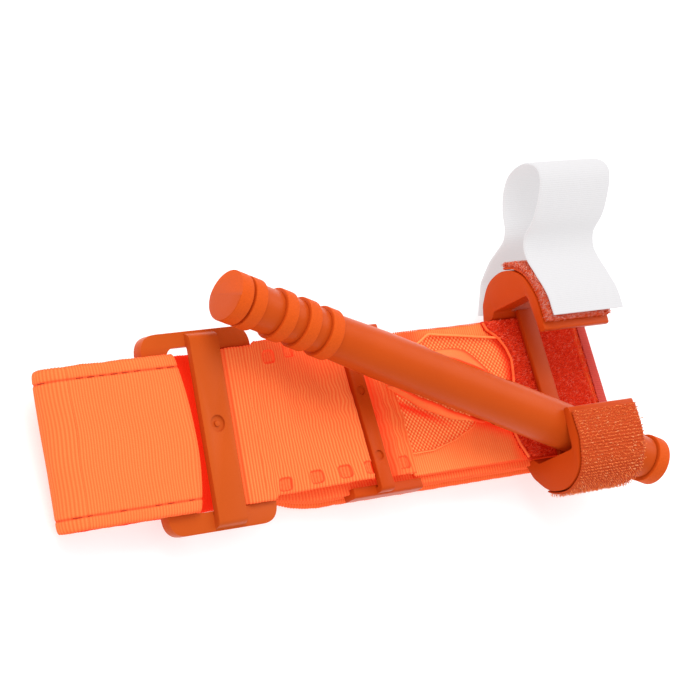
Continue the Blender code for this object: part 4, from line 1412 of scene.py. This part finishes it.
def hook_skin(side, start, finish, offset, steps=60):
    """Points and outward directions (y, z) along a hook's outer side, between two distances."""
    plain = [(y, z, 0.0004 if index == 0 else radius) for index, (y, z, radius) in enumerate(HOOK_OUTLINE)]
    outer = rounded(plain)[3:36]
    lengths = np.concatenate([[0], np.cumsum([(b - a).length for a, b in zip(outer, outer[1:])])])
    keys = np.array([list(p) for p in outer])
    distance = np.linspace(start, finish, steps + 1)
    y = np.interp(distance, lengths, keys[:, 0])
    z = np.interp(distance, lengths, keys[:, 1])
    dy, dz = np.gradient(y), np.gradient(z)
    size = np.hypot(dy, dz)
    ny, nz = -dz / size, dy / size
    window = np.ones(5) / 5
    ny = np.convolve(np.pad(ny, 2, mode="edge"), window, mode="valid")
    nz = np.convolve(np.pad(nz, 2, mode="edge"), window, mode="valid")
    return side * (y + ny * offset), z + nz * offset, side * ny, nz


def make_tape(name, side, limits, material, node):
    """The woven backing on a hook's outer side, between two distances along it."""
    start, finish = limits
    y, z, _, _ = hook_skin(side, start, finish, SKIN_GAP + TAPE_THICKNESS / 2)
    middle = (CLIP_LEFT_X + CLIP_RIGHT_X) / 2
    centres = [(middle, a, b) for a, b in zip(y, z)]
    tape = ribbon(name, centres, [(1, 0, 0)] * len(centres), material, TAPE_THICKNESS,
                  half_width=(CLIP_RIGHT_X - CLIP_LEFT_X) / 2 - 0.0003, rib=TAPE_RIB, columns=20)
    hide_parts(node)
    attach(tape, "plate_body")


def tape_spots(side, limits, surface, count):
    """Random places on a hook's outer side, with the direction outwards at each."""
    start, finish = limits
    y, z, ny, nz = hook_skin(side, start, finish, surface, 200)
    where = CHANCE.uniform(0, 200, count)
    index = np.arange(201)
    place_y, place_z = np.interp(where, index, y), np.interp(where, index, z)
    normal_y, normal_z = np.interp(where, index, ny), np.interp(where, index, nz)
    x = CHANCE.uniform(CLIP_LEFT_X + 0.0001, CLIP_RIGHT_X - 0.0001, count)
    normals = np.stack([np.zeros(count), normal_y, normal_z], axis=1)
    normals /= np.linalg.norm(normals, axis=1, keepdims=True)
    return np.stack([x, place_y, place_z], axis=1), normals


def make_far_tape(base_material, pile_material):
    """Loop tape on the far hook's outer side."""
    make_tape("far_loop_backing", 1, FAR_TAPE_SPAN, base_material, "far_loop_tape")
    bases, normals = tape_spots(1, FAR_TAPE_SPAN, SKIN_GAP + TAPE_THICKNESS, PILE_COUNT)
    pile = fibres("far_loop_pile", bases, normals, 0.00105, 0.00005, pile_material)
    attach(pile, "plate_body")


def make_near_tape(base_material, hook_material):
    """Hook tape on the near hook's outer side: rows of small bent hooks."""
    make_tape("near_hook_backing", -1, NEAR_TAPE_SPAN, base_material, "near_hook_tape")
    start, finish = NEAR_TAPE_SPAN
    y, z, ny, nz = hook_skin(-1, start + 0.0005, finish - 0.0005, SKIN_GAP + TAPE_THICKNESS, HOOK_ROWS - 1)
    xs = np.arange(CLIP_LEFT_X + 0.0006, CLIP_RIGHT_X - 0.0006, HOOK_PITCH)
    bases, normals = [], []
    for row in range(HOOK_ROWS):
        for x in xs:
            bases.append((x + (row % 2) * HOOK_PITCH / 2 + CHANCE.normal(0, 0.00005), y[row], z[row]))
            normals.append((0, ny[row], nz[row]))
    normals = np.array(normals)
    normals /= np.linalg.norm(normals, axis=1, keepdims=True)
    hooks = fibres("near_hook_rows", np.array(bases), normals, 0.00062, 0.00013, hook_material, curl=0.8,
                   segments=6)
    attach(hooks, "plate_body")


def make_strap(material):
    """The white time strap: a back leg on the far hook, a curl, and a free end laid forwards."""
    path = smooth_path([
        (0.0226, 0.0043), (0.0265, 0.0066), (0.0300, 0.0087), (0.0313, 0.0102), (0.0343, 0.0145),
        (0.0372, 0.0210), (0.0400, 0.0233), (0.0450, 0.0246),
        (0.0493, 0.0269), (0.0526, 0.0307), (0.0534, 0.0362), (0.0513, 0.0404), (0.0478, 0.0412),
        (0.0433, 0.0386), (0.0387, 0.0343), (0.0362, 0.0300), (0.0335, 0.0282), (0.0301, 0.0280),
        (0.0245, 0.0299), (0.0191, 0.0316), (0.0135, 0.0318)])
    middle = STRAP_LEFT_X + STRAP_WIDTH / 2
    centres = [(middle, y, z) for y, z in path]
    strap = ribbon("white_strap", centres, [(1, 0, 0)] * len(centres), material, STRAP_THICKNESS,
                   half_width=STRAP_WIDTH / 2, rib=STRAP_RIB, rib_height=0.000035, columns=24,
                   ragged=0.00006)
    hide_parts("time_strap", "time_strap_anchor")
    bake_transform(strap)


# ---------------------------------------------------------------- stage

def make_stage():
    """The floor, a white surrounding and three soft lights that point at the middle."""
    bm = bmesh.new()
    bmesh.ops.create_grid(bm, x_segments=8, y_segments=8, size=3.0)
    floor = link("floor", mesh_from_bmesh("floor", bm), floor_material())
    world = bpy.data.worlds.new("studio")
    bpy.context.scene.world = world
    world.use_nodes = True
    background = world.node_tree.nodes["Background"]
    background.inputs["Color"].default_value = (1.0, 1.0, 1.0, 1.0)
    background.inputs["Strength"].default_value = 0.84
    lights = (("key", (-0.25, 0.55, 0.75), 0.6, 6.2), ("fill", (-0.5, -0.6, 0.6), 0.8, 1.7),
              ("rim", (0.6, 0.1, 0.5), 0.5, 1.6))
    for name, place, size, power in lights:
        data = bpy.data.lights.new(name, "AREA")
        data.size = size
        data.energy = power
        lamp = add_object(name, data)
        lamp.location = place
        lamp.rotation_euler = (-Vector(place)).to_track_quat("-Z", "Y").to_euler()


def make_camera():
    """The camera fitted to the picture."""
    data = bpy.data.cameras.new("camera")
    data.sensor_width = 36.0
    data.lens = 147.4
    data.clip_start = 0.01
    camera = add_object("camera", data)
    right = Vector((0.7615, -0.2695, 0.5895)).normalized()
    up = Vector((0.0906, 0.9448, 0.3150))
    back = right.cross(up).normalized()
    up = back.cross(right).normalized()
    turn = Matrix((right, up, back)).transposed().to_4x4()
    camera.matrix_world = Matrix.Translation((-0.4853, -0.1191, 0.5492)) @ turn
    bpy.context.scene.camera = camera
    bpy.context.scene.view_settings.view_transform = "Standard"
    bpy.context.scene.view_settings.look = "None"


# A painted red glow that lifts the orange webbing's shade.
PAINTED_GLOW = (0.18, 0.010, 0.002)
ORANGE_WEB = webbing_material("orange_webbing", (0.80, 0.215, 0.058), (0.74, 0.125, 0.028), BAND_RIB, PAINTED_GLOW)
SLEEVE_WEB = webbing_material("orange_sleeve", (0.80, 0.240, 0.068), (0.72, 0.105, 0.023), SLEEVE_RIB, PAINTED_GLOW)
WINDOW_WEB = webbing_material("orange_window", (0.88, 0.300, 0.090), (0.78, 0.150, 0.035), WINDOW_RIB, PAINTED_GLOW)
MESH_WEB = mesh_material("orange_mesh", (0.82, 0.330, 0.095), (0.66, 0.070, 0.014), MESH_PITCH * 1000)
CLIMB_WEB = webbing_material("orange_gathers", (0.82, 0.270, 0.078), (0.70, 0.080, 0.018), CLIMB_RIB, PAINTED_GLOW)
SELVAGE_WEB = webbing_material("pink_selvage", (0.60, 0.075, 0.055), (0.42, 0.022, 0.018), SELVAGE_RIB)
# The tape backings' faint painted red glow lifts their shade.
PILE_BASE = webbing_material("pile_backing", (0.62, 0.034, 0.008), (0.50, 0.020, 0.005), TAPE_RIB,
                             (0.12, 0.002, 0.0))
FAR_BASE = webbing_material("far_backing", (0.62, 0.085, 0.020), (0.55, 0.060, 0.012), TAPE_RIB,
                            (0.06, 0.003, 0.0))
HOOK_BASE = webbing_material("hook_backing", (0.56, 0.080, 0.015), (0.46, 0.050, 0.009), TAPE_RIB)
# The white strap's strong painted glow lifts its shade, in place of light passing through the thin tape.
WHITE_WEB = webbing_material("white_webbing", (0.21, 0.207, 0.212), (0.18, 0.175, 0.18), STRAP_RIB,
                             (0.58, 0.57, 0.575), (0.2, 0.19, 0.19), (0.55, 0.53, 0.54))
PILE = fibre_material("pile_fibres", (0.80, 0.050, 0.010), (0.95, 0.100, 0.025), (0.90, 0.26, 0.16), 0.12)
FAR_PILE = fibre_material("far_pile_fibres", (0.62, 0.085, 0.020), (0.72, 0.14, 0.040),
                          (0.72, 0.42, 0.34), 0.34)
HOOKS = fibre_material("hook_fibres", (0.72, 0.17, 0.038), (0.86, 0.30, 0.09), (0.86, 0.42, 0.18), 0.12)
MESH_EDGE = webbing_material("turned_edge", (0.80, 0.17, 0.05), (0.74, 0.07, 0.02), 0.0006, PAINTED_GLOW)
THREAD = thread_material("orange_thread", (0.50, 0.045, 0.012))
ROD_PLASTIC = plastic_material("rod_plastic_look", (0.500, 0.068, 0.0070), (0.430, 0.054, 0.0055))
CLIP_PLASTIC = plastic_material("clip_plastic_look", (0.490, 0.056, 0.0055), (0.420, 0.045, 0.0042))
BUCKLE_PLASTIC = plastic_material("buckle_plastic_look", (0.500, 0.080, 0.0110), (0.440, 0.066, 0.0085))

make_camera()
make_stage()
make_rod(ROD_PLASTIC)
make_clip(CLIP_PLASTIC)
make_buckle(BUCKLE_PLASTIC)
make_band(ORANGE_WEB, THREAD)
make_sleeve(SLEEVE_WEB)
make_window(WINDOW_WEB)
make_window_mesh(MESH_WEB)
make_slot_bands(CLIMB_WEB)
make_patch(PILE_BASE, PILE, SELVAGE_WEB, MESH_EDGE)
make_far_tape(FAR_BASE, FAR_PILE)
make_near_tape(HOOK_BASE, HOOKS)
make_strap(WHITE_WEB)
